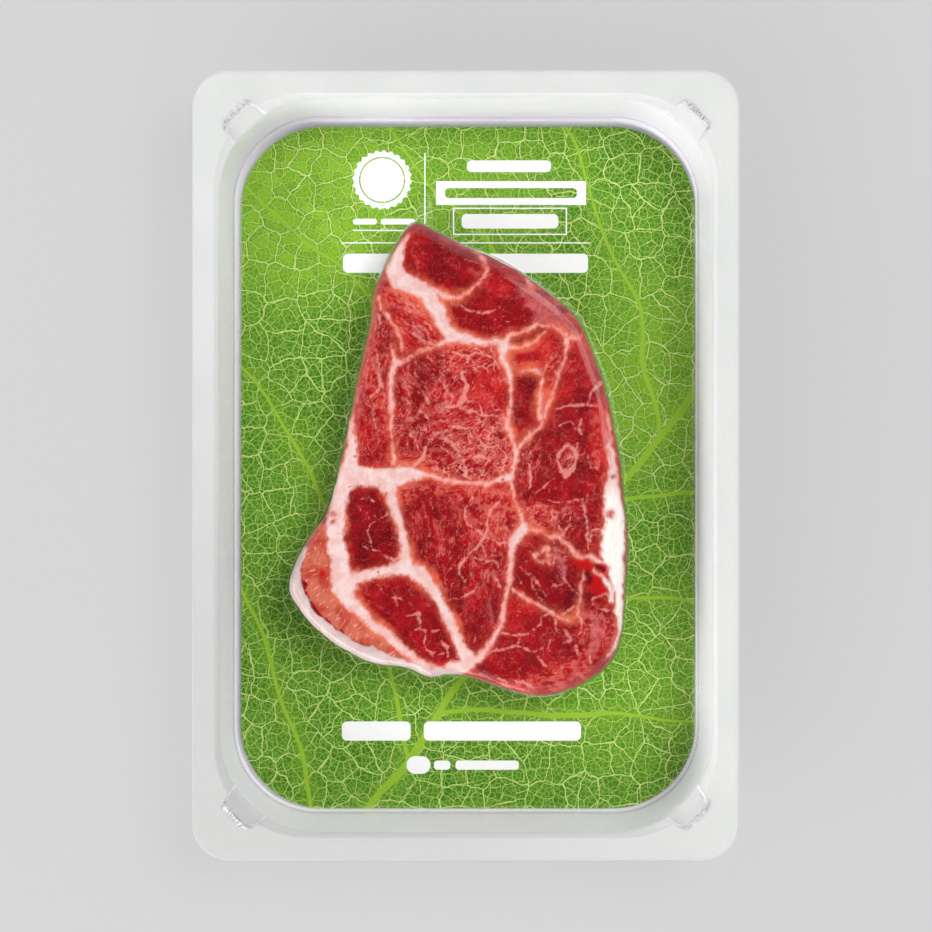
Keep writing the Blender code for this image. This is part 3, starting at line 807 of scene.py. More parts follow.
# %% Seams, veins and muscles
# Strokes are rows of (x, y, radius) in millimetres from the tray's centre
FAT_STROKES = [
    [(-19.5, 76.8, 0.5), (-22.4, 71.5, 2.0), (-24.2, 66, 3.4), (-22.6, 62, 3.8), (-18, 60.2, 3.1),
     (-13.9, 57.2, 3.0), (-10.1, 52, 2.9), (-6.8, 46.5, 2.6), (-4.3, 42.6, 2.4), (2.5, 41.2, 1.6),
     (9.4, 40.8, 1.1), (13, 39.4, 1.8)],
    [(-12.9, 58.3, 1.2), (-7.3, 56, 1.1), (-3.1, 55.6, 0.8), (1, 57, 0.45), (4.8, 60.7, 0.4),
     (7.4, 65.8, 0.5), (6, 68.6, 0.8), (4, 70.6, 0.6)],
    [(-4.5, 41.5, 1.2), (-9.2, 39.6, 0.8), (-13.9, 38.2, 0.6), (-17.6, 36.4, 0.4), (-19.9, 35, 0.8),
     (-23.6, 34, 1.5), (-24.8, 32, 1.2), (-25, 29.8, 1.1), (-25.5, 25.2, 0.9), (-25.2, 20.5, 1.1),
     (-25, 17, 0.8), (-24.8, 13, 0.6), (-24.5, 8, 0.35), (-24.4, 4, 0.5), (-23.5, 0.8, 0.9)],
    [(-24.2, 34, 0.9), (-24.6, 37.3, 0.5), (-25.6, 39.6, 0.3)],
    [(-29, 56, 0.5), (-28.3, 52.3, 0.5), (-26, 49.5, 0.6), (-23.2, 45.7, 0.6), (-21.6, 42, 0.5),
     (-21.8, 38, 0.3)],
    [(-38.3, 17, 0.4), (-38.4, 11, 1.4), (-38.2, 5.5, 2.2), (-38.6, 1, 2.8), (-39.2, -2.5, 3.4),
     (-41.2, -8, 3.2), (-43, -14.6, 2.9), (-43.6, -19.9, 3.3), (-43.5, -25.2, 3.4), (-42.8, -30.5, 3.2),
     (-41.6, -35.8, 3.4), (-40.7, -40.1, 3.8), (-38.3, -44.9, 2.6), (-34, -49.7, 1.8), (-29.8, -53.4, 1.8),
     (-25.6, -56.6, 1.6), (-22.4, -60.3, 1.6), (-18.2, -63.5, 1.5), (-13.4, -66.8, 1.2), (-8, -69, 0.9)],
    [(-39, -2.5, 3.4), (-34, -3.6, 3.5), (-28.5, -4.1, 3.6), (-23.5, -3.6, 3.3), (-18.5, -2.2, 2.5),
     (-14.5, -2.9, 1.3), (-10.7, -3.8, 0.9), (-5.4, -5, 0.8), (2.5, -5.7, 0.8), (8, -5.6, 1.0),
     (12, -4.8, 1.5), (14, -4, 1.7)],
    [(-25, -6, 2.4), (-24.6, -10, 1.9), (-24, -13, 1.9), (-22.4, -18.3, 1.6), (-20.9, -23.6, 1.6),
     (-19.8, -28.9, 1.9), (-20.2, -33.2, 2.8), (-16, -35.9, 2.6), (-12.3, -39.6, 2.2), (-9.2, -44.9, 2.0),
     (-5.5, -51.8, 1.8), (-2, -58.7, 1.8), (0.2, -63.2, 2.8)],
    [(-20.3, -32.9, 2.6), (-25.6, -34.8, 1.8), (-30.9, -36, 1.7), (-36.2, -37.2, 2.0), (-40, -38.5, 2.6)],
    [(0.4, -64, 2.6), (-3, -66.8, 1.7), (-6, -68.4, 1.0)],
    [(-1, -66.8, 2.4), (3.3, -64.6, 1.3), (7.1, -60.8, 1.1), (10, -55.3, 1.0), (13, -48, 0.9),
     (14.3, -40.4, 0.85), (14.9, -34, 1.0), (15.1, -28.9, 1.2), (16.8, -25.5, 1.9), (19.2, -21.2, 2.0),
     (18.7, -18, 0.6), (16.9, -13.2, 0.4), (15.8, -9.5, 0.45), (14.6, -6.3, 0.7), (14.2, -4, 1.2),
     (15.4, -1.3, 0.9), (16.6, 2.5, 1.3), (17.4, 5.9, 1.0), (21.4, 10.4, 0.6), (24.9, 14.2, 0.5),
     (27.4, 20, 0.45), (29.3, 24.5, 0.4), (31.3, 29.5, 0.4), (32.3, 34, 0.35), (33, 38, 0.5),
     (33.2, 42, 1.1)],
    [(17, 5.3, 1.1), (14.4, 12, 0.8), (13.9, 15, 0.8), (14.5, 20, 0.75), (14.8, 25.2, 0.85),
     (14.6, 30.8, 1.2), (12.9, 35.4, 1.4), (13.1, 39.2, 1.9), (15.5, 43.4, 0.45), (20.2, 44.8, 0.45),
     (23.4, 47.2, 0.7), (28.1, 46.4, 0.6), (31.2, 44.6, 0.8), (33.4, 42.4, 1.1), (37.8, 42.6, 0.3)],
    [(13.3, 38.5, 1.0), (18.8, 39.4, 0.5), (22.5, 41, 0.6), (25.7, 44.3, 0.5)],
    [(18.3, 31.8, 0.3), (22.9, 32.4, 0.7), (26, 30.2, 0.6), (25.4, 25.6, 0.5), (24.7, 20.5, 0.9),
     (24.6, 15.5, 0.8)],
    [(19.2, -21, 1.4), (21.9, -21.4, 0.5), (25.3, -22.7, 0.3), (27.8, -23.8, 0.6), (31.6, -23.9, 0.7),
     (34.2, -26.4, 0.7), (36.3, -29.6, 0.8), (39.3, -31.5, 0.7), (42.2, -31.2, 1.3), (45, -32.2, 0.9)],
    [(42.8, -34.6, 0.4), (45.6, -37.2, 0.9), (47.7, -40.6, 1.1), (48.6, -44.6, 1.0)],
    [(15.6, -41.2, 0.4), (19.4, -44, 0.6), (24.4, -46.2, 0.7), (28.2, -48.9, 0.7), (31.6, -51, 0.7),
     (34.2, -51.6, 0.5), (37.1, -50.2, 0.4), (38, -46.8, 0.5), (38.4, -40.4, 0.5), (39.3, -35.3, 0.3)],
    [(22.7, -29.3, 0.5), (27.2, -27.4, 0.6), (27.1, -32.6, 0.5), (24.2, -31.2, 0.6), (22.7, -29.3, 0.5)],
    [(47.2, 17, 0.6), (48, 10, 1.1), (48.5, 2, 1.4), (48.8, -5, 2.2), (48.9, -11, 3.2), (49.2, -17, 3.9),
     (49.3, -23.4, 4.3), (49.1, -30, 4.3), (50.1, -36, 3.0), (51, -42.5, 1.7), (51.2, -49, 1.5),
     (51, -55.3, 1.1), (49.6, -60, 0.9), (47.6, -64, 0.5)],
    [(20.2, 62.3, 0.5), (21.6, 59.9, 0.8), (23.4, 59, 0.3)], [(-39.4, -7, 2.4), (-38.6, -5, 2.4)],
    [(-26.4, -7.4, 2.6), (-25.4, -6.4, 2.4)], [(-40.4, -35.4, 3.0), (-41, -38, 3)],
    [(-38, -39.6, 2.6), (-40, -40, 3)], [(-22.6, -33.6, 2.0), (-20.6, -34, 2.4)],
    [(-5.6, -67.2, 1.2), (-4.4, -66.6, 1.6)],
]
THIN_STROKES = [
    [(-1.7, 53.7, 0.3), (2, 51.6, 0.35), (7.1, 51.2, 0.3), (11.3, 52.7, 0.1)],
    [(9, 47.8, 0.1), (13, 49, 0.2)], [(-19.4, 51.1, 0.3), (-15.7, 51.1, 0.35), (-13.4, 49.5, 0.2)],
    [(-21.8, 49, 0.2), (-17.6, 46.2, 0.4), (-13.9, 43.6, 0.3)],
    [(-18.5, 48.5, 0.3), (-14.3, 45.6, 0.35), (-12, 44.3, 0.2)],
    [(-21.3, 45.7, 0.3), (-18.5, 43.9, 0.3), (-10.1, 40.8, 0.4)],
    [(-15.7, 41.5, 0.2), (-12, 40.4, 0.4), (-9.2, 39.9, 0.2)], [(-13.9, 47.8, 0.3), (-11, 45.3, 0.2)],
    [(-12.9, 43.9, 0.2), (-9.2, 41.2, 0.35)], [(-20, 53.6, 0.2), (-16.5, 53, 0.3)],
    [(-17.5, 44.6, 0.2), (-15, 41.8, 0.25)],
    [(-30.6, 38.2, 0.2), (-29.5, 34.5, 0.3), (-28.3, 26.6, 0.5), (-32.5, 21.9, 0.35), (-33.9, 19.1, 0.2)],
    [(-32.5, 20, 0.3), (-30.6, 16.8, 0.35), (-30.2, 12, 0.2)], [(-29.4, 50.4, 0.4), (-29.2, 46.6, 0.35)],
    [(-28.3, 26.6, 0.3), (-27.4, 21, 0.2)], [(-32, 8, 0.2), (-33, 2, 0.3)],
    [(-35.5, 26, 0.25), (-36.6, 20, 0.2)],
    [(-0.8, 30.8, 0.5), (0.2, 26, 0.8), (-1.4, 21, 0.7), (-3.8, 19.6, 0.4), (-8, 19, 0.3)],
    [(4.8, 21.6, 0.2), (5.2, 17.2, 0.4), (9.4, 16.8, 0.4), (13.6, 14.9, 0.3)],
    [(5.2, 17.2, 0.35), (0, 17.6, 0.4), (-3.8, 19.4, 0.3)],
    [(-6, 37.4, 0.3), (0, 36.6, 0.35), (5, 37, 0.3), (9.5, 35.4, 0.3), (11.5, 32, 0.25)],
    [(0.5, 36.6, 0.2), (2.8, 33, 0.3), (7, 31.5, 0.2)],
    [(-20, 28.6, 0.3), (-15.5, 25.4, 0.3), (-12, 21, 0.25)],
    [(-21, 22, 0.25), (-16, 19.6, 0.3), (-11.5, 15.5, 0.3)],
    [(-9.5, 30, 0.2), (-6.5, 26.4, 0.3), (-4.4, 22.6, 0.25)], [(-13, 33.5, 0.2), (-9.8, 29.4, 0.25)],
    [(-17, 31, 0.2), (-13.6, 27, 0.25)], [(-13.4, 6.1, 0.6), (-13.9, 3.5, 0.7), (-16, 0.8, 0.9)],
    [(-13.4, 6.1, 0.4), (-10, 10.5, 0.5), (-4, 12.4, 0.5), (2, 11.6, 0.3)],
    [(-8, 9.8, 0.3), (-3.6, 6, 0.35), (-1, 1.2, 0.4), (-0.4, -3.4, 0.4)],
    [(-1, 1.4, 0.3), (4.4, 3.4, 0.35), (8.6, 1.2, 0.25)],
    [(3, 8.6, 0.25), (6.6, 5.6, 0.3), (11, 6.4, 0.25)], [(8.2, 12.4, 0.3), (11.2, 8.8, 0.25)],
    [(-19, 10, 0.25), (-16, 6.4, 0.3)], [(-33.5, -9.3, 0.2), (-31.9, -10.9, 0.3), (-30.1, -12.5, 0.15)],
    [(-31.9, -10.9, 0.2), (-35.1, -12, 0.1)],
    [(-25.6, -16.2, 0.4), (-28.7, -17.3, 0.3), (-31.9, -19.6, 0.35), (-32.5, -21.5, 0.3),
     (-31.4, -24.7, 0.35), (-30.9, -27.9, 0.45), (-28.2, -28.7, 0.2)],
    [(-30.9, -14.1, 0.15), (-30.6, -17.8, 0.25)], [(-34.3, -27.1, 0.3), (-30.9, -28, 0.3)],
    [(-26.6, -30, 0.3), (-24, -31.6, 0.5), (-21.9, -30.3, 0.3)],
    [(-35.4, -14.6, 0.1), (-33, -16, 0.15), (-32, -19.4, 0.2)],
    [(-31.9, -38.5, 0.3), (-28.2, -40.6, 0.35), (-28.7, -42.2, 0.2)],
    [(-24.4, -43.8, 0.3), (-22.9, -44.3, 0.55), (-21.4, -44.6, 0.3)],
    [(-22.9, -44.3, 0.3), (-22.4, -46.6, 0.15)], [(-23.4, -42.6, 0.15), (-22.9, -44.3, 0.3)],
    [(-19.5, -49.6, 0.3), (-16, -48.9, 0.4), (-15.5, -53.9, 0.35), (-13.9, -55.5, 0.35),
     (-13.7, -59.7, 0.35), (-11.3, -61.9, 0.4), (-7.6, -62.9, 0.3)],
    [(-11.8, -55.5, 0.35), (-8.6, -55.2, 0.3)], [(-11.5, -61.9, 0.3), (-11.3, -65, 0.3)],
    [(-8.1, -58.1, 0.4), (-6.5, -59.7, 0.5), (-6, -63.5, 0.4)], [(-19.7, -38.5, 0.2), (-18.2, -42.6, 0.25)],
    [(-15.5, -53.9, 0.2), (-18, -54.8, 0.15)],
    [(1.7, -10.9, 0.25), (0.1, -14.1, 0.3), (0.1, -18.3, 0.35), (2.5, -21, 0.35), (6.2, -24.1, 0.5),
     (11.3, -26.8, 0.4), (14.8, -26.4, 0.3)],
    [(11.3, -11.9, 0.4), (8.3, -15.1, 0.35), (7, -20.4, 0.35), (6.2, -24.1, 0.45)],
    [(6.2, -24.1, 0.5), (4, -27.3, 0.45), (0.4, -30.5, 0.4), (-2.8, -33.2, 0.4), (-2.3, -35.8, 0.35),
     (-0.7, -38, 0.2)],
    [(5.1, -26.8, 0.35), (6.7, -30, 0.3), (6.7, -32.6, 0.2)],
    [(1.4, -31, 0.25), (5.1, -31.6, 0.3), (9.9, -32.1, 0.3), (11.5, -35.2, 0.2)],
    [(-7, -44.5, 0.1), (-2, -44, 0.25), (2.4, -41.6, 0.3), (3.6, -38.8, 0.15)],
    [(9.2, -36, 0.25), (11.4, -40.6, 0.25)], [(44.8, 27.3, 0.8), (42, 24.2, 0.4), (40.7, 20.1, 0.3)],
    [(29.5, 18.6, 0.2), (35.2, 20.1, 0.35), (40.2, 20.1, 0.35), (45, 19.6, 0.5)],
    [(23.5, -9.5, 0.2), (26.5, -5.9, 0.25), (30.1, -4.3, 0.15)],
    [(20.6, 0.8, 0.2), (21.4, -3.4, 0.3), (20.6, -7, 0.2)],
    [(27.8, -11.5, 0.25), (33.6, -11.9, 0.3), (39, -11.6, 0.3), (39.8, -18.3, 0.35), (40.5, -23.4, 0.4),
     (41.4, -28.5, 0.35)],
    [(44.3, -21.7, 0.2), (41.8, -22.4, 0.3), (41.9, -27, 0.2)],
    [(31.2, -20.4, 0.3), (33, -23, 0.4), (34.6, -19.6, 0.2)],
    [(38.8, 9, 0.2), (37.4, 12.4, 0.3), (38.6, 15.4, 0.15)], [(36.7, 6.9, 0.5), (36.2, 4.6, 0.3)],
    [(31, 13.5, 0.2), (34.5, 14.8, 0.25), (36.2, 12, 0.2)],
    [(40.5, 4, 0.15), (41.5, -1, 0.25), (44.6, -2.6, 0.3)],
    [(17.7, -33.2, 0.15), (21, -37, 0.2), (23.6, -42.1, 0.3), (25.3, -44.6, 0.2)],
    [(21, -35.7, 0.1), (24.4, -39.5, 0.25), (26.5, -42.9, 0.2)], [(17.6, -37.5, 0.1), (20.4, -41.5, 0.2)],
    [(29.5, -25.5, 0.2), (29, -30.4, 0.25), (27.8, -34.6, 0.15)],
    [(32.4, -33.6, 0.2), (32.5, -37.8, 0.25), (34.6, -41.2, 0.3), (37.1, -43.6, 0.25)],
    [(28.2, -40, 0.3), (30.3, -39.5, 0.35), (32.5, -39.1, 0.3)],
    [(37.1, -46.8, 0.5), (33.8, -48, 0.6), (32.1, -49.7, 0.5)],
    [(38, -50.2, 0.4), (38.4, -53.1, 0.45), (37.1, -56.1, 0.2)], [(38.8, -51.9, 0.3), (42.2, -53.1, 0.35)],
    [(27, -49.7, 0.5), (24.9, -51, 0.5), (24.9, -53.6, 0.45), (22.7, -55.3, 0.2)],
    [(11.3, -55.7, 0.2), (15.1, -56.5, 0.35), (20.6, -56.1, 0.3)],
    [(5.4, -63.3, 0.2), (9.6, -61.2, 0.35), (16.4, -60.4, 0.45), (21, -61.6, 0.4), (24.4, -60.4, 0.2)],
    [(27, -60.4, 0.3), (27.4, -58.7, 0.4), (29.1, -58.7, 0.3)],
    [(32.5, -54.8, 0.3), (35, -57.8, 0.5), (32.1, -59.5, 0.3)], [(36.3, -59.5, 0.3), (37.1, -62.9, 0.25)],
    [(41, -62.3, 0.3), (41.4, -66.3, 0.25)], [(29.1, -51, 0.25), (30.2, -55.3, 0.15)],
    [(46.5, -42.5, 0.3), (42.6, -43.8, 0.35), (42.6, -45.9, 0.3), (45.6, -47.2, 0.35), (47.7, -48, 0.3)],
    [(16, -60.4, 0.3), (17.6, -57, 0.15)], [(4, -69.4, 0.2), (14, -71.6, 0.3), (24, -73.8, 0.35)],
    [(12, -72.6, 0.2), (22, -75, 0.3)], [(23.5, -63.5, 0.3), (26.5, -66.5, 0.4)],
]
print("strokes", len(FAT_STROKES), "broad", len(THIN_STROKES), "thin")


# %% Fields on the cut face
def stroke_depth(x, y, strokes):
    """Return how deep each point lies in the nearest stroke, negative outside, and that stroke's radius.

    A stroke is a row of discs joined by tapering stretches. Along each stretch the depth is the
    radius there minus the distance to the middle line, and the largest of all depths counts. Both
    are in millimetres.
    """
    depth, size = np.full(x.shape, -50.0), np.zeros(x.shape)
    for stroke in strokes:
        for (x0, y0, r0), (x1, y1, r1) in zip(stroke, stroke[1:]):
            run, rise = x1 - x0, y1 - y0
            share = np.clip(((x - x0) * run + (y - y0) * rise) / (run**2 + rise**2), 0.0, 1.0)
            distance = np.hypot(x - x0 - share * run, y - y0 - share * rise)
            radius = r0 + (r1 - r0) * share
            size = np.where(radius - distance > depth, radius, size)
            depth = np.maximum(depth, radius - distance)
    return depth, size


def spot_depth(x, y, spots):
    """Return 1 in the middle of the nearest round spot, given as (x, y, radius), falling to 0."""
    value = np.zeros(x.shape)
    for spot_x, spot_y, radius in spots:
        value = np.maximum(value, np.exp(-(((x - spot_x) ** 2 + (y - spot_y) ** 2) / radius**2)))
    return value


def wandered(x, y, amount, cell, seed):
    """Return the places moved by smooth noise, so that a line drawn there comes out uneven."""
    return x + amount * lattice_noise(x, y, cell, seed), y + amount * lattice_noise(x, y, cell, seed + 1)


# Muscles are rows of (x, y, half width, half length, turn in degrees, tone, pale, flecks, net, grain in
# degrees). Tone goes from dark crimson (0) to bright red (1), and pale, flecks and net are shares.
MUSCLES = [
    (-9, 66, 12, 8, -25, 0.34, 0.00, 0.10, 0.05, 100), (-15, 68, 3, 8, 8, 0.62, 0.35, 0.15, 0.10, 95),
    (10, 60, 7, 4, -40, 0.62, 0.25, 0.20, 0.10, 30), (12, 50, 12, 6, -15, 0.40, 0.00, 0.12, 0.10, 10),
    (24, 54, 6, 6, -45, 0.50, 0.50, 0.35, 0.15, 60), (31, 51, 4, 5, -45, 0.50, 0.50, 0.30, 0.15, -50),
    (-18, 54, 6, 4, -30, 0.84, 0.85, 0.60, 0.10, -35), (-16, 45, 7, 6, -30, 0.66, 0.10, 0.55, 0.10, -32),
    (-27, 45, 3, 6, 10, 0.42, 0.30, 0.60, 0.30, 75), (-26, 38, 4, 4, 10, 0.55, 0.40, 0.60, 0.30, 75),
    (-32, 26, 4, 14, 8, 0.62, 0.50, 0.50, 0.25, 80), (-30, 8, 6, 9, 0, 0.58, 0.16, 0.40, 0.35, 80),
    (-14, 31, 9, 5, -25, 0.44, 0.14, 0.60, 0.30, -55), (-17, 24, 6, 6, -20, 0.50, 0.36, 0.72, 0.35, -50),
    (2, 35, 8, 4, -5, 0.70, 0.40, 0.60, 0.80, 20), (5, 25, 6, 7, 0, 0.76, 0.10, 0.35, 0.50, 65),
    (-7, 25, 4, 6, 0, 0.60, 0.45, 0.70, 0.60, 60), (-17, 12, 7, 8, 0, 0.44, 0.22, 0.60, 0.50, 60),
    (-11, 2, 8, 3, 0, 0.66, 0.60, 0.55, 0.40, 20), (-3, 14, 8, 5, 0, 0.70, 0.30, 0.70, 0.55, 20),
    (-4, 3, 7, 6, 0, 0.54, 0.26, 0.76, 0.85, 20), (7, 7, 7, 9, 0, 0.60, 0.52, 0.85, 0.80, 50),
    (20, 22, 4.5, 9, -3, 0.34, 0.00, 0.10, 0.25, 15), (19, 13, 3.5, 4, -3, 0.45, 0.05, 0.25, 0.30, 80),
    (27, 22, 1.6, 8, -14, 0.85, 0.65, 0.30, 0.10, 70), (23, 37, 7, 4, 10, 0.78, 0.12, 0.40, 0.20, 60),
    (19, 41.8, 4, 1.2, 15, 0.30, 0.05, 0.20, 0.10, 20), (29, 34, 3, 5, 0, 0.56, 0.10, 0.50, 0.60, 60),
    (38, 36, 5, 7, -25, 0.60, 0.30, 0.35, 0.20, 60), (38, 24, 6, 6, 0, 0.46, 0.10, 0.30, 0.20, 60),
    (31, 11, 7, 7, 0, 0.46, 0.00, 0.28, 0.25, 60), (44.5, 8, 2.4, 14, 0, 0.70, 0.50, 0.35, 0.15, 85),
    (34, 1.5, 2.6, 3.8, 0, 0.36, 0.55, 0.55, 0.60, 60), (23, 2, 5, 6, 30, 0.40, 0.12, 0.55, 0.35, 60),
    (30, -8, 9, 5, 0, 0.40, 0.00, 0.22, 0.15, 80), (40, -12, 5, 9, 0, 0.40, 0.00, 0.25, 0.35, 80),
    (25, -17, 6, 4, 0, 0.62, 0.55, 0.60, 0.60, 40), (34, -18, 5, 4, 0, 0.48, 0.10, 0.45, 0.40, 60),
    (-33, -19, 7, 12, -4, 0.28, 0.00, 0.08, 0.05, 70), (-27.5, -22, 4.5, 5, 0, 0.12, 0.00, 0.05, 0.00, 70),
    (-20, -53, 7, 16, 40, 0.42, 0.00, 0.10, 0.05, 45), (-33, -45, 4, 4, 40, 0.66, 0.25, 0.10, 0.05, 45),
    (-20, -9, 3, 3, 0, 0.55, 0.65, 0.45, 0.10, 20), (-10, -8, 7, 2, 0, 0.70, 0.60, 0.40, 0.10, 10),
    (-12, -20, 7, 10, 0, 0.42, 0.00, 0.45, 0.05, 88), (8, -11, 8, 4, 0, 0.74, 0.62, 0.55, 0.20, 80),
    (11, -20, 5, 5, 0, 0.72, 0.66, 0.60, 0.20, 80), (3.6, -18, 3, 5, 0, 0.66, 0.50, 0.55, 0.20, 80),
    (-5, -33, 7, 9, 20, 0.46, 0.00, 0.55, 0.10, 85), (7, -33, 6, 7, 0, 0.54, 0.36, 0.55, 0.40, 70),
    (2, -50, 7, 10, -12, 0.42, 0.00, 0.38, 0.20, 80), (10.5, -47, 2.4, 8, -10, 0.46, 0.10, 0.40, 0.10, 80),
    (23, -36, 7, 8, 0, 0.36, 0.00, 0.22, 0.05, -50), (31, -32, 3, 6, 0, 0.34, 0.35, 0.35, 0.50, -60),
    (33, -44, 5, 4.5, 0, 0.16, 0.00, 0.05, 0.00, -48), (36, -36, 2.2, 5, 10, 0.34, 0.00, 0.10, 0.00, 80),
    (44, -40, 3, 5, 10, 0.40, 0.05, 0.20, 0.10, 80), (18, -49, 5, 5, 20, 0.66, 0.10, 0.30, 0.20, -20),
    (26, -57, 9, 7, -15, 0.44, 0.00, 0.25, 0.30, -40), (43, -55, 5, 8, 15, 0.50, 0.55, 0.45, 0.35, 60),
    (37, -66, 7, 5, 30, 0.60, 0.55, 0.45, 0.25, 25), (13, -67, 13, 4, -5, 0.46, 0.06, 0.22, 0.10, 10),
    (26, -71, 9, 3, 5, 0.66, 0.60, 0.45, 0.20, 10), (45, -65, 4, 3, 50, 0.44, 0.20, 0.20, 0.10, 50),
]
BROWN_STROKES = [
    [(-49, -20, 2.2), (-50.2, -25.2, 3.6), (-50.0, -33.2, 5.2), (-48.6, -41.2, 4.8), (-43.6, -48, 4.4),
     (-37.2, -53.6, 4.0), (-31.4, -57.4, 3.6), (-24.6, -61, 2.6), (-19, -64.6, 1.2)],
]
# The fat rim on the steak's outer side, whose colour is painted greyer as shade
RIM_STROKES = [
    [(-53.5, -27.5, 0.8), (-57.5, -33, 2.2), (-57.5, -41, 3.2), (-54, -49.5, 3.4), (-46, -56.5, 3.2),
     (-37, -61.5, 2.9), (-28, -64.6, 2.6), (-19, -67, 2.2), (-11, -70, 1.8), (-3, -69.8, 1.4)],
]
# The steak's left side, painted brown as shade
SHADED_SIDE_STROKES = [[(-22, 76, 0.6), (-27.6, 66, 1.0), (-31.4, 57, 1.6), (-32.8, 47, 1.7), (-36.2, 31, 1.8),
                 (-39.4, 16, 1.2)]]
# Places of a painted lilac sheen on the cut
PAINTED_SHEEN_STROKES = [
    [(-9, 76.2, 0.6), (-4, 74.0, 1.2), (5, 70.6, 0.6)], [(18, 57.5, 1.6), (24, 54, 3.6), (29, 49, 3.4)],
    [(29.5, -27.5, 1.2), (31.6, -33, 1.8), (32, -37, 1.2)], [(7.2, -44.5, 0.8), (7.8, -51.5, 1.0)],
    [(42.5, -50, 1.8), (43.5, -57, 2.2), (41, -62, 1.6)], [(1, 64.5, 0.8), (4.5, 64, 1.0)],
]
FRINGE_SPOTS = [
    (-8, 53, 8), (-1, 45, 6), (-18, 56, 6), (-19, 2, 6), (-13, 0, 6), (-20, -10, 6), (-16, -30, 6),
    (-10, -38, 6), (-3, -52, 4), (-33, -46, 6), (-28, -52, 5), (18, 36, 8), (25, 22, 5), (33, 46, 5),
    (24, -19, 6), (17, 12, 4), (34, -49, 4), (-39, -20, 3), (-31, -57, 4),
]
BLOOD_SPOTS = [
    (-44.5, -16, 0.9), (-44.7, -18.2, 0.7), (47.5, -17, 1.3), (40.5, -33.2, 1.6), (43.2, -38, 2.2),
    (44.5, -41.5, 1.6), (38.2, -33, 1.3), (46, -34.2, 1.3), (-48.4, -35.8, 1.3), (-18.7, 77, 1.0),
    (49.2, 11, 1.1), (50, 6, 1.2), (50.4, 1, 1.0), (49.2, -3.4, 0.7),
]
# Near-black red painted into small cracks of the cut as shade
CRACK_SHADE_SPOTS = [
    (40.8, -35.6, 0.8), (40.9, -36.6, 0.8), (41, -37.6, 0.8), (41, -38.5, 0.7), (44, -33.4, 0.6),
    (44.8, -33.9, 0.6), (45.6, -34.5, 0.6),
]
SPECK_SPOTS = [(-36.9, 2.7, 0.4), (-38.8, -7.3, 0.4), (11.5, -4.9, 0.5), (-29, -35.6, 0.4)]
FAINT_SPOTS = [(-32, -16, 9), (-31, -28, 8), (-26, -42, 9), (-14, -56, 10), (-8, -62, 6)]
VESSEL_X, VESSEL_Y, VESSEL_HALF_X, VESSEL_HALF_Y = 33.4, 1.5, 3.4, 4.7


def muscle_fields(x, y):
    """Return tone, pale, flecks and net at each point, and the grain's place (along, across, muscle).

    A muscle's nearness is its elliptical distance. The four shares are means weighted by a steep
    falling power of it, and the grain takes the direction of the nearest muscle alone.
    """
    nearest = np.full(x.shape, 1e9)
    grain = np.zeros(x.shape + (3,))
    total = np.zeros(x.shape)
    shares = np.zeros(x.shape + (4,))
    for number, (mx, my, half_x, half_y, turn, tone, pale, flecks, net, along) in enumerate(MUSCLES):
        turn = math.radians(turn)
        u = (x - mx) * math.cos(turn) + (y - my) * math.sin(turn)
        v = (y - my) * math.cos(turn) - (x - mx) * math.sin(turn)
        distance = np.hypot(u / half_x, v / half_y)
        weight = 1.0 / (0.05 + distance) ** 4.5
        total += weight
        shares += weight[..., None] * np.array([tone, pale, flecks, net])
        closer = distance < nearest
        nearest = np.where(closer, distance, nearest)
        along = math.radians(along)
        lengthwise = x * math.cos(along) + y * math.sin(along)
        crosswise = y * math.cos(along) - x * math.sin(along)
        here = np.stack([lengthwise, crosswise, np.full(x.shape, 7.0 * number)], axis=-1)
        grain = np.where(closer[..., None], here, grain)
    return shares / total[..., None], grain


print("muscles", len(MUSCLES))

# %% [markdown]
# ## The steak's body
# The steak is a disc grid pulled to the outline. Its inner part is the cut face, and its outer part
# runs down a rounded edge to the underside, which is closed by one flat face. Relief follows what the
# face shows: fat stands a little proud, muscles swell between seams, and fine noise gives the cut its
# moist unevenness.

# %% Steak surface
STEAK_BOTTOM = 2.4
STEAK_GRID = 313
FACE_SHARE = 0.84
STEAK_EDGE = [(9.0, 20.0), (4.6, 19.85), (1.9, 18.9), (0.5, 16.2), (0.0, 10.5), (0.4, 2.6), (2.5, 0.0)]
SWELLINGS = [
    (-32, -22, 9, 0.5), (-20, -53, 9, 0.5), (0, -33, 14, 0.5), (36, 2, 12, 0.4), (-7, 67, 9, 0.5),
    (-16, 20, 13, 0.4), (28, -37, 9, 0.5), (-12, -5, 6, -0.5), (-9, 50, 6, -0.4), (16, -22, 6, -0.4),
    (28, -62, 10, 0.4), (14, 52, 10, 0.4),
]


def face_swelling(x, y):
    """Height of the cut face over its plane in millimetres: low bells given as (x, y, radius, rise)."""
    height = np.zeros(x.shape)
    for bell_x, bell_y, radius, rise in SWELLINGS:
        height += rise * np.exp(-((x - bell_x) ** 2 + (y - bell_y) ** 2) / radius**2)
    return height


def edge_place(distance, bearing, profile, face_share, top_inset):
    """Return (x, y, height, share of the way down) of a domed disc inside the steak's outline.

    Up to face_share the point runs straight from the centre to the edge's start. Beyond it the
    point follows the profile of (inset, height), at an even pace along its length.
    """
    reach = steak_reach(bearing)
    down = np.clip((distance - face_share) / (1.0 - face_share), 0.0, 1.0)
    inset, height = along_line(smooth_line(profile, 12), down)
    inner = (reach - top_inset) * distance / face_share
    radius = np.where(distance < face_share, inner, reach - inset)
    return STEAK_X + radius * np.cos(bearing), STEAK_Y + radius * np.sin(bearing), height, down


distance, bearing = disc_grid(STEAK_GRID)
x, y, level, down = edge_place(distance, bearing, STEAK_EDGE, FACE_SHARE, EDGE_INSET)
uneven = 0.28 * lattice_noise(x + level, y - level, 3.1, 3) + 0.16 * lattice_noise(x - level, y + level,
                                                                                   1.3, 4)
x = x + uneven * np.cos(bearing) * np.clip(down * 4, 0, 1)
y = y + uneven * np.sin(bearing) * np.clip(down * 4, 0, 1)

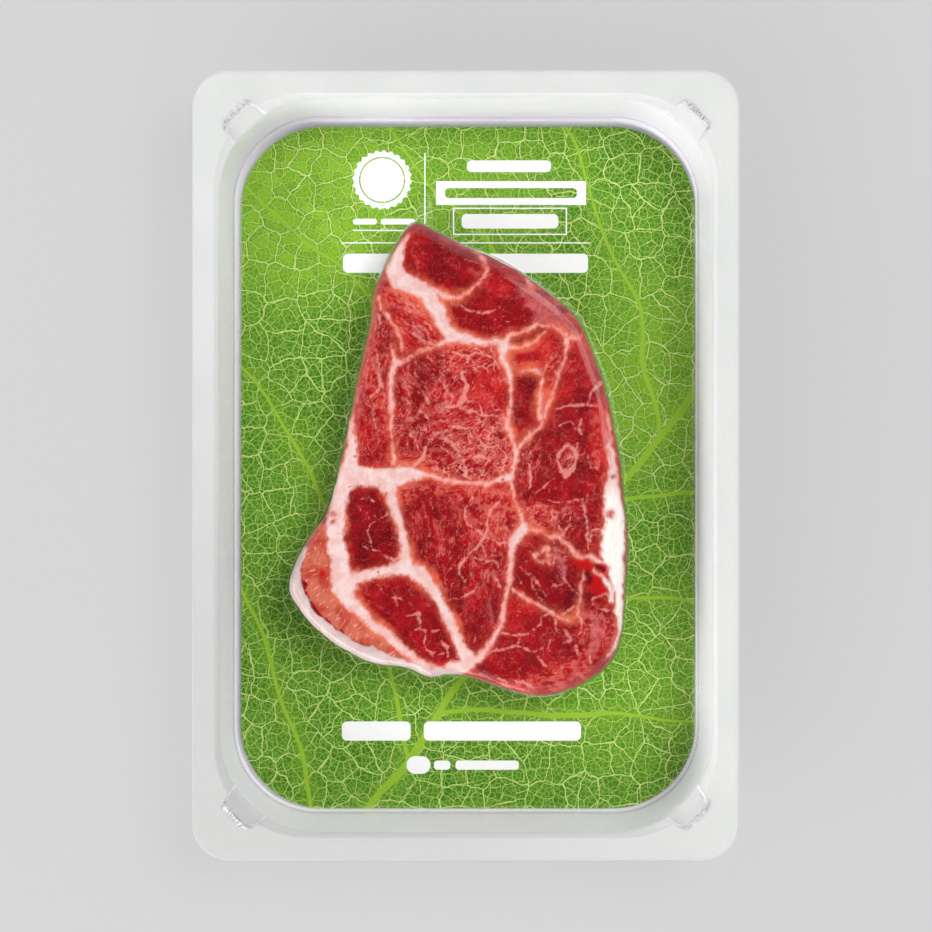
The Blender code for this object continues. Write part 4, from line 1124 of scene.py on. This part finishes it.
wide_x, wide_y = wandered(x, y, 0.7, 6.0, 11)
wide_x, wide_y = wandered(wide_x, wide_y, 0.35, 2.2, 13)
wide_x, wide_y = wandered(wide_x, wide_y, 0.22, 1.1, 15)
fat, fat_size = stroke_depth(wide_x, wide_y, FAT_STROKES)
vein, rim_fat, brown, shaded_side_strip, painted_sheen = (
    stroke_depth(wide_x, wide_y, strokes)[0]
    for strokes in (THIN_STROKES, RIM_STROKES, BROWN_STROKES, SHADED_SIDE_STROKES, PAINTED_SHEEN_STROKES)
)
ring_distance = np.hypot((wide_x - VESSEL_X) / VESSEL_HALF_X, (wide_y - VESSEL_Y) / VESSEL_HALF_Y) - 1.0
vein = np.maximum(vein - 0.16 * spot_depth(x, y, FAINT_SPOTS), 0.62 - np.abs(ring_distance) * VESSEL_HALF_X)
shares, grain = muscle_fields(wide_x, wide_y)
grain[..., 2] += level * 0.5

proud = np.clip((np.maximum(fat, rim_fat) + 0.4) / 1.2, 0.0, 1.0)
relief = 0.16 * proud * proud * (3 - 2 * proud) + 0.06 * np.clip(vein + 0.5, 0.0, 0.6)
relief += 0.07 * lattice_noise(x, y, 2.6, 21) + 0.035 * lattice_noise(x, y, 1.0, 22)
flat_share = np.clip(1.0 - down * 2.5, 0.0, 1.0)
level = level + (face_swelling(x, y) + relief) * flat_share

points = np.stack([x, y, level + STEAK_BOTTOM], axis=-1) * MM
faces = grid_faces(STEAK_GRID, STEAK_GRID, closed=False) + [rim_of_grid(STEAK_GRID)[::-1]]

# %% [markdown]
# ## Meat and fat
# Raw meat is red muscle with pale flecks, crossed by fat that is nearly white. A photo would give
# this at once, but shader nodes can, too, when each thing is laid over the last: muscle of varying
# tone, fine fibres along the grain, short flecks, a net of thin fat, an orange fringe next to the
# seams, and the seams themselves. The values that the mesh carries say where each thing goes, and
# noise that is stretched along the grain frays its edge.

# %% Meat material
meat, tree, shader = new_material("raw_meat", Specular_IOR_Level=0.08)
grain_place = attribute(tree, "grain", output=1)
# On the steak's side the place drifts with the height, so that no pattern runs in upright stripes
meat_place = put(tree, "SeparateXYZ", {}, {0: object_place(tree)})
drift_x = calc(tree, "MULTIPLY_ADD", meat_place.outputs[2], 0.8, meat_place.outputs[0])
drift_y = calc(tree, "MULTIPLY_ADD", meat_place.outputs[2], -0.6, meat_place.outputs[1])
place = put(tree, "CombineXYZ", {}, {0: drift_x, 1: drift_y}).outputs[0]


def grain_noise(length, width, detail=2.0):
    """Noise whose lumps are length by width millimetres, laid along the grain of the meat."""
    scale = (1.0 / length, 1.0 / width, 1.0)
    stretched = put(tree, "Mapping", {}, {"Vector": grain_place, "Scale": scale}).outputs[0]
    return put(tree, "TexNoise", {}, {"Vector": stretched, "Scale": 1.0, "Detail": detail}).outputs[0]


def shifted(value, middle, amount):
    """Value minus its middle, times an amount: a push to either side."""
    return times(tree, minus(tree, value, middle), amount)


def thread(value, half_width):
    """A winding line where a noise passes its middle value."""
    off = calc(tree, "ABSOLUTE", minus(tree, value, 0.5))
    return fade(tree, off, half_width, half_width * 0.3)


def lay(mask, colour):
    """Lay a colour over the meat where the mask is 1."""
    return blend_colours(tree, mask, meat_colour, colour)


tone, pale = attribute(tree, "tone"), attribute(tree, "pale")
flecks, net = attribute(tree, "flecks"), attribute(tree, "net")
fat_depth, vein_depth = attribute(tree, "fat"), attribute(tree, "vein")

broad = noise(tree, place, 0.006, 2.0, flat=True)
fine_fibre = grain_noise(2.4, 0.32, 1.0)
long_fibre = grain_noise(5.0, 0.9, 2.0)
grit = noise(tree, place, 0.0009, 1.0, flat=True)
tone = plus(tree, tone, shifted(broad, 0.5, 1.0))
tone = plus(tree, tone, shifted(fine_fibre, 0.5, 0.42))
tone = plus(tree, tone, shifted(grit, 0.5, 0.5))
muscle = put(tree, "ValToRGB", {}, {"Fac": tone})
ramp = muscle.color_ramp
ramp.elements[0].position, ramp.elements[0].color = 0.0, paint(90, 4, 12)
ramp.elements[1].position, ramp.elements[1].color = 1.0, paint(186, 36, 34)
for spot, colour in ((0.25, paint(118, 7, 14)), (0.5, paint(141, 9, 18)), (0.75, paint(165, 18, 22))):
    ramp.elements.new(spot).color = colour
meat_colour = muscle.outputs["Color"]

# Marbled parts are mottled, with winding threads along the grain and a finer web between them
mottle = calc(tree, "MULTIPLY_ADD", noise(tree, place, 0.0024, 2.0, flat=True), 0.6,
              times(tree, long_fibre, 0.4))
pale_level = calc(tree, "MULTIPLY_ADD", pale, -0.17, 0.590)
pale_mask = times(tree, fade(tree, minus(tree, mottle, pale_level), -0.03, 0.08), pale)
meat_colour = lay(times(tree, pale_mask, 1.15), paint(198, 94, 82))
gaps = fade(tree, noise(tree, place, 0.0045, 2.0, flat=True), 0.42, 0.58)
uneven_width = put(tree, "MapRange", {},
                   {"Value": broad, "From Min": 0.3, "From Max": 0.7, "To Max": 0.038}).outputs[0]
flowing = calc(tree, "ABSOLUTE", minus(tree, grain_noise(7.0, 2.2, 2.5), 0.5))
flowing = fade(tree, minus(tree, flowing, uneven_width), 0.008, -0.018)
threads = times(tree, flowing, fade(tree, flecks, 0.18, 0.80))
meat_colour = lay(times(tree, threads, 0.58), paint(215, 130, 118))
web = times(tree, thread(noise(tree, place, 0.0030, 2.0, flat=True), 0.035), fade(tree, net, 0.15, 0.8))
meat_colour = lay(times(tree, times(tree, web, gaps), 0.64), paint(216, 132, 120))

# Flecks: more flecks lower the height at which the stretched noise counts
fleck_noise = minus(tree, grain_noise(2.3, 0.8, 3.0), calc(tree, "MULTIPLY_ADD", flecks, -0.09, 0.690))
fleck_mask = times(tree, fade(tree, fleck_noise, -0.01, 0.07), 0.65)
meat_colour = lay(fleck_mask, paint(217, 139, 127))
small_noise = minus(tree, grain_noise(1.0, 0.5, 2.0), calc(tree, "MULTIPLY_ADD", flecks, -0.08, 0.71))
meat_colour = lay(times(tree, fade(tree, small_noise, -0.01, 0.06), 0.50), paint(222, 150, 142))

# A net of thin fat with crisp lines and many gaps
wide_net = use_group(tree, net_group, {"Place": place, "Size": 0.0062, "Width": 0.00036, "Bend": 1.0})
net_mask = times(tree, times(tree, wide_net.outputs["Vein"], fade(tree, net, 0.1, 0.9)), gaps)
meat_colour = lay(times(tree, net_mask, 0.85), paint(217, 143, 133))

# Even dark muscle shows a few faint winding lines
faint = times(tree, thread(noise(tree, place, 0.0050, 2.0, flat=True), 0.018), 0.24)
meat_colour = lay(faint, paint(200, 92, 88))

# The brown strip lies under the fat
brown_depth = plus(tree, attribute(tree, "brown"),
                   shifted(noise(tree, place, 0.003, 2.0, flat=True), 0.5, 2.4))
brown_meat = blend_colours(tree, fade(tree, broad, 0.35, 0.65), paint(166, 60, 46), paint(187, 99, 78))
brown_meat = blend_colours(tree, fade(tree, fleck_noise, -0.12, 0.02), brown_meat, paint(220, 146, 126))
meat_colour = lay(fade(tree, brown_depth, -0.3, 0.5), brown_meat)

# The fringe next to a seam is orange, and the seam's edge is frayed along the grain
frayed = plus(tree, fat_depth, shifted(grain_noise(2.4, 0.6, 2.0), 0.5, 1.5))
frayed = plus(tree, frayed, shifted(noise(tree, place, 0.0022, 2.0, flat=True), 0.5, 1.5))
fringe = times(tree, fade(tree, frayed, -2.6, -0.2), attribute(tree, "fringe"))
meat_colour = lay(fringe, paint(216, 108, 74))
thick_fat = fade(tree, attribute(tree, "fat_size"), 0.5, 2.0)
fat_clouds = noise(tree, place, 0.004, 2.0, flat=True)
fat_colour = blend_colours(tree, fade(tree, fat_clouds, 0.35, 0.65), paint(219, 194, 191),
                           paint(212, 171, 167))
fat_streaks = fade(tree, grain_noise(6.0, 0.8, 2.0), 0.50, 0.66)
fat_colour = blend_colours(tree, times(tree, fat_streaks, 0.35), fat_colour, paint(218, 160, 150))
fat_colour = blend_colours(tree, thick_fat, paint(226, 162, 152), fat_colour)
cap_colour = blend_colours(tree, fat_streaks, paint(230, 225, 219), paint(231, 211, 204))
fat_colour = blend_colours(tree, attribute(tree, "white_cap"), fat_colour, cap_colour)
meat_colour = lay(times(tree, fade(tree, frayed, -0.80, 0.30), 0.55), paint(212, 112, 98))
meat_colour = lay(fade(tree, frayed, -0.35, 1.25), fat_colour)
vein_edge = plus(tree, vein_depth, shifted(noise(tree, place, 0.0013, 2.0, flat=True), 0.5, 1.2))
vein_edge = plus(tree, vein_edge, shifted(noise(tree, place, 0.0045, 2.0, flat=True), 0.52, 0.9))
vein_mask = times(tree, fade(tree, vein_edge, -0.28, 0.36), 0.74)
meat_colour = lay(vein_mask, paint(216, 138, 128))

# A painted lilac sheen where the cut is moist, painted shade that greys the fat on the outer side, and a
# brown painted shade on the steak's left side
painted_sheen_depth = plus(tree, attribute(tree, "painted_sheen"), shifted(mottle, 0.5, 5.0))
meat_colour = lay(times(tree, fade(tree, painted_sheen_depth, -0.8, 1.4), 0.42), paint(188, 104, 108))
# Painted shade: the fat rim on the outer side is painted greyer
shaded_rim_depth = plus(tree, attribute(tree, "rim_fat"), shifted(broad, 0.5, 1.0))
rim_fat_shaded_colour = blend_colours(tree, fade(tree, fat_clouds, 0.3, 0.7), paint(192, 175, 172), paint(182, 158, 155))
meat_colour = lay(fade(tree, shaded_rim_depth, -0.2, 0.6), rim_fat_shaded_colour)
# Painted shade: a brown band down the steak's left side
shaded_side_depth = plus(tree, attribute(tree, "shaded_side_strip"), shifted(broad, 0.5, 1.4))
meat_colour = lay(times(tree, fade(tree, shaded_side_depth, -0.8, 0.9), 0.8), paint(156, 82, 52))

meat_colour = lay(times(tree, attribute(tree, "blood"), fade(tree, long_fibre, 0.1, 0.42)), paint(176, 8, 14))
# Painted shade in small cracks: near-black red
meat_colour = lay(attribute(tree, "crack_shade"), paint(66, 2, 10))
rough = put(tree, "MapRange", {}, {"Value": broad, "To Min": 0.38, "To Max": 0.55}).outputs[0]
height = times(tree, fine_fibre, 0.75)
feed(tree, shader, Base_Color=meat_colour, Roughness=rough, Normal=bump(tree, height, 0.5, 0.00012))

steak = new_piece("steak_body", points, faces, meat)
white_share = np.clip((x - 43.5) / 2.0, 0, 1) * np.clip((-4 - y) / 8, 0, 1)
point_values = {
    "fat": fat, "fat_size": fat_size, "vein": vein, "brown": brown, "rim_fat": rim_fat,
    "shaded_side_strip": shaded_side_strip,
    "painted_sheen": painted_sheen, "fringe": 0.10 + 0.62 * spot_depth(wide_x, wide_y, FRINGE_SPOTS), "tone": shares[..., 0],
    "pale": shares[..., 1], "flecks": shares[..., 2], "net": shares[..., 3], "white_cap": white_share,
    "blood": np.clip(spot_depth(wide_x, wide_y, BLOOD_SPOTS + SPECK_SPOTS) * 1.6, 0, 1) * 0.88,
    "crack_shade": np.clip(spot_depth(wide_x, wide_y, CRACK_SHADE_SPOTS) * 1.4, 0, 1) * 0.85,
}
for label, values in point_values.items():
    add_values(steak, label, values)
add_values(steak, "grain", grain, "FLOAT_VECTOR", "vector")
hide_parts("steak")
print("values on the steak", len(point_values))

# %% [markdown]
# ## The skin of film
# The film is heated, drawn down by a vacuum and sealed to whatever it touches, so it repeats every
# form below it, a little rounder. It is one sheet, and so it is one disc grid: over the steak, down
# its side, along the card, up the wall and out over the flange. Outside the steak its rings are
# rounded rectangles, and each of them is met at the same bearing from the steak's centre.

# %% Film surface
FILM_GRID = 205
FILM_SHEET = 0.08
FILM_OFF = 0.12
FACE_END, EDGE_END, CARD_END = 0.40, 0.60, 0.70
CARD_TOP = 2.1
FILM_EDGE = [
    (9.0, 20.45), (4.4, 20.3), (1.5, 19.3), (-0.1, 16.4), (-0.55, 10.5), (-0.65, 3.4), (-0.9, 0.8),
    (-1.7, -0.08), (-3.4, -0.18),
]
TENT = [[(-16.0, 79.5, 1.6), (-14.6, 83.0, 2.4), (-13.8, 87.0, 1.6), (-13.4, 90.0, 0.4)]]
film_level = tray_high.z / MM + FILM_OFF
film_profile = [
    (*shrunk(foot, 2.2), CARD_TOP + FILM_OFF), (*shrunk(foot, 0.9), 2.75),
    (*shrunk(wall_section(4.0), 0.25), 4.0),
    (*shrunk(wall_section(14.0), 0.25), 14.0), (*shrunk(wall_section(25.3), 0.30), 25.3),
    (WELL_X - 1.5, WELL_Y - 1.5, WELL_CORNER + 2.8, 27.6),
    (WELL_X - 0.2, WELL_Y - 0.2, WELL_CORNER, film_level),
    (flange_x - 0.5, flange_y - 0.5, 11.5, film_level),
]
film_rings = soften(film_profile, [1.2, 0.9, 1.5, 1.0, 0.6, 0.6], 7)

dense = loop_columns(np.linspace(0, 90, 91), 120, 80)
foot_loop = rounded_loops(dense, [*shrunk(foot, 2.2), 0.0])
loop_bearing = np.unwrap(np.arctan2(foot_loop[:, 1] - STEAK_Y, foot_loop[:, 0] - STEAK_X))

distance, bearing = disc_grid(FILM_GRID)
turned = loop_bearing[0] + (bearing - loop_bearing[0]) % (2 * np.pi)
wrap = np.append(loop_bearing, loop_bearing[0] + 2 * np.pi)
across, along = (np.interp(turned, wrap, np.append(part, part[0])) for part in dense[:2])
heading = np.interp(turned, wrap, np.append(dense[2], dense[2][0] + 2 * np.pi))

outer = np.clip((distance - CARD_END) / (1.0 - CARD_END), 0.0, 1.0)
rings = along_line(film_rings, outer)
loops = rounded_loops((across, along, heading), rings)

steak_share = np.minimum(distance / EDGE_END, 1.0)
x, y, level, down = edge_place(steak_share, bearing, FILM_EDGE, FACE_END / EDGE_END, EDGE_INSET)
face = np.clip(1.0 - down * 3.0, 0.0, 1.0)
level = level + face_swelling(x, y) * face + STEAK_BOTTOM
smooth_fat = np.clip((stroke_depth(x, y, FAT_STROKES + RIM_STROKES)[0] + 1.0) / 2.4, 0.0, 1.0)
level = level + 0.15 * smooth_fat * face + 0.05 * lattice_noise(x, y, 3.5, 31) * face
to_card = np.clip((distance - EDGE_END) / (CARD_END - EDGE_END), 0.0, 1.0)[..., None]
over_steak = np.stack([x, y, level], axis=-1)
film_points = over_steak * (1 - to_card) + loops * to_card
film_points[..., 2] = np.where(to_card[..., 0] > 0, np.maximum(film_points[..., 2], CARD_TOP + FILM_OFF),
                               film_points[..., 2])

# Beyond the steak's tip the film stands up as a small tent, and it ripples down the steak's side
tent = np.clip(stroke_depth(film_points[..., 0], film_points[..., 1], TENT)[0] / 2.0, 0.0, 1.0)
film_points[..., 2] += 5.0 * tent * tent * (3 - 2 * tent) * (distance > EDGE_END * 0.98)
ripple = np.clip(lattice_noise(bearing * 60.0, film_points[..., 2] * 0.3 + 20.0, 2.4, 51), 0.0, 1.0)
ripple = 0.30 * ripple * np.clip((distance - 0.44) / 0.06, 0, 1) * np.clip((0.72 - distance) / 0.06, 0, 1)
film_points[..., 0] += ripple * np.cos(bearing)
film_points[..., 1] += ripple * np.sin(bearing)

# Small upright folds on the walls, strongest half way up and uneven round the well
rise = film_points[..., 2]
on_wall = np.clip((rise - 3.0) / 6.0, 0, 1) * np.clip((26.0 - rise) / 5.0, 0, 1) * (outer > 0)
round_way = np.where(np.abs(across) > 0.999, along * flange_y, across * flange_x)
round_way = round_way + heading * FLANGE_CORNER
folds = np.sin(round_way * 1.1 + 2.5 * lattice_noise(round_way, rise, 9.0, 41))
strength = np.clip(0.35 + 0.65 * lattice_noise(round_way, rise * 0.3, 22.0, 42), 0.0, 1.0)
push = -0.30 * on_wall * strength * (0.6 + 0.4 * folds)
film_points[..., 0] += push * np.cos(heading)
film_points[..., 1] += push * np.sin(heading)

# %% [markdown]
# Clear film is glass as far as light is concerned: a smooth shader with full transmission. Light
# that reaches the meat through glass would be lost or grainy, so rays from lamps are let through by a
# plain see-through shader, which only shadow rays meet.

# %% Film material
film_clear, tree, shader = new_material("clear_film", Transmission_Weight=1.0, IOR=1.33,
                                        Base_Color=(1, 1, 1, 1))
place = object_place(tree)
waves = noise(tree, place, 0.009, 0.0)
rough = put(tree, "MapRange", {}, {"Value": waves, "To Min": 0.01, "To Max": 0.05}).outputs[0]
loose = calc(tree, "MULTIPLY_ADD", attribute(tree, "sealed"), -0.75, 1.0)
feed(tree, shader, Roughness=rough, Normal=bump(tree, waves, 0.35, 0.0004), Alpha=loose)
through = put(tree, "BsdfTransparent")
light_path = put(tree, "LightPath")
mixed = put(tree, "MixShader", {},
            {0: light_path.outputs["Is Shadow Ray"], 1: shader.outputs[0], 2: through.outputs[0]})
tree.links.new(mixed.outputs[0], tree.nodes["Material Output"].inputs["Surface"])

film = new_piece("film_skin", film_points * MM, grid_faces(FILM_GRID, FILM_GRID, closed=False), film_clear)
sealed = np.clip((outer - 0.08) / 0.06, 0.0, 1.0)
add_values(film, "sealed", sealed)
add_sheet(film, FILM_SHEET * MM, 1)
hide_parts("skin_film")
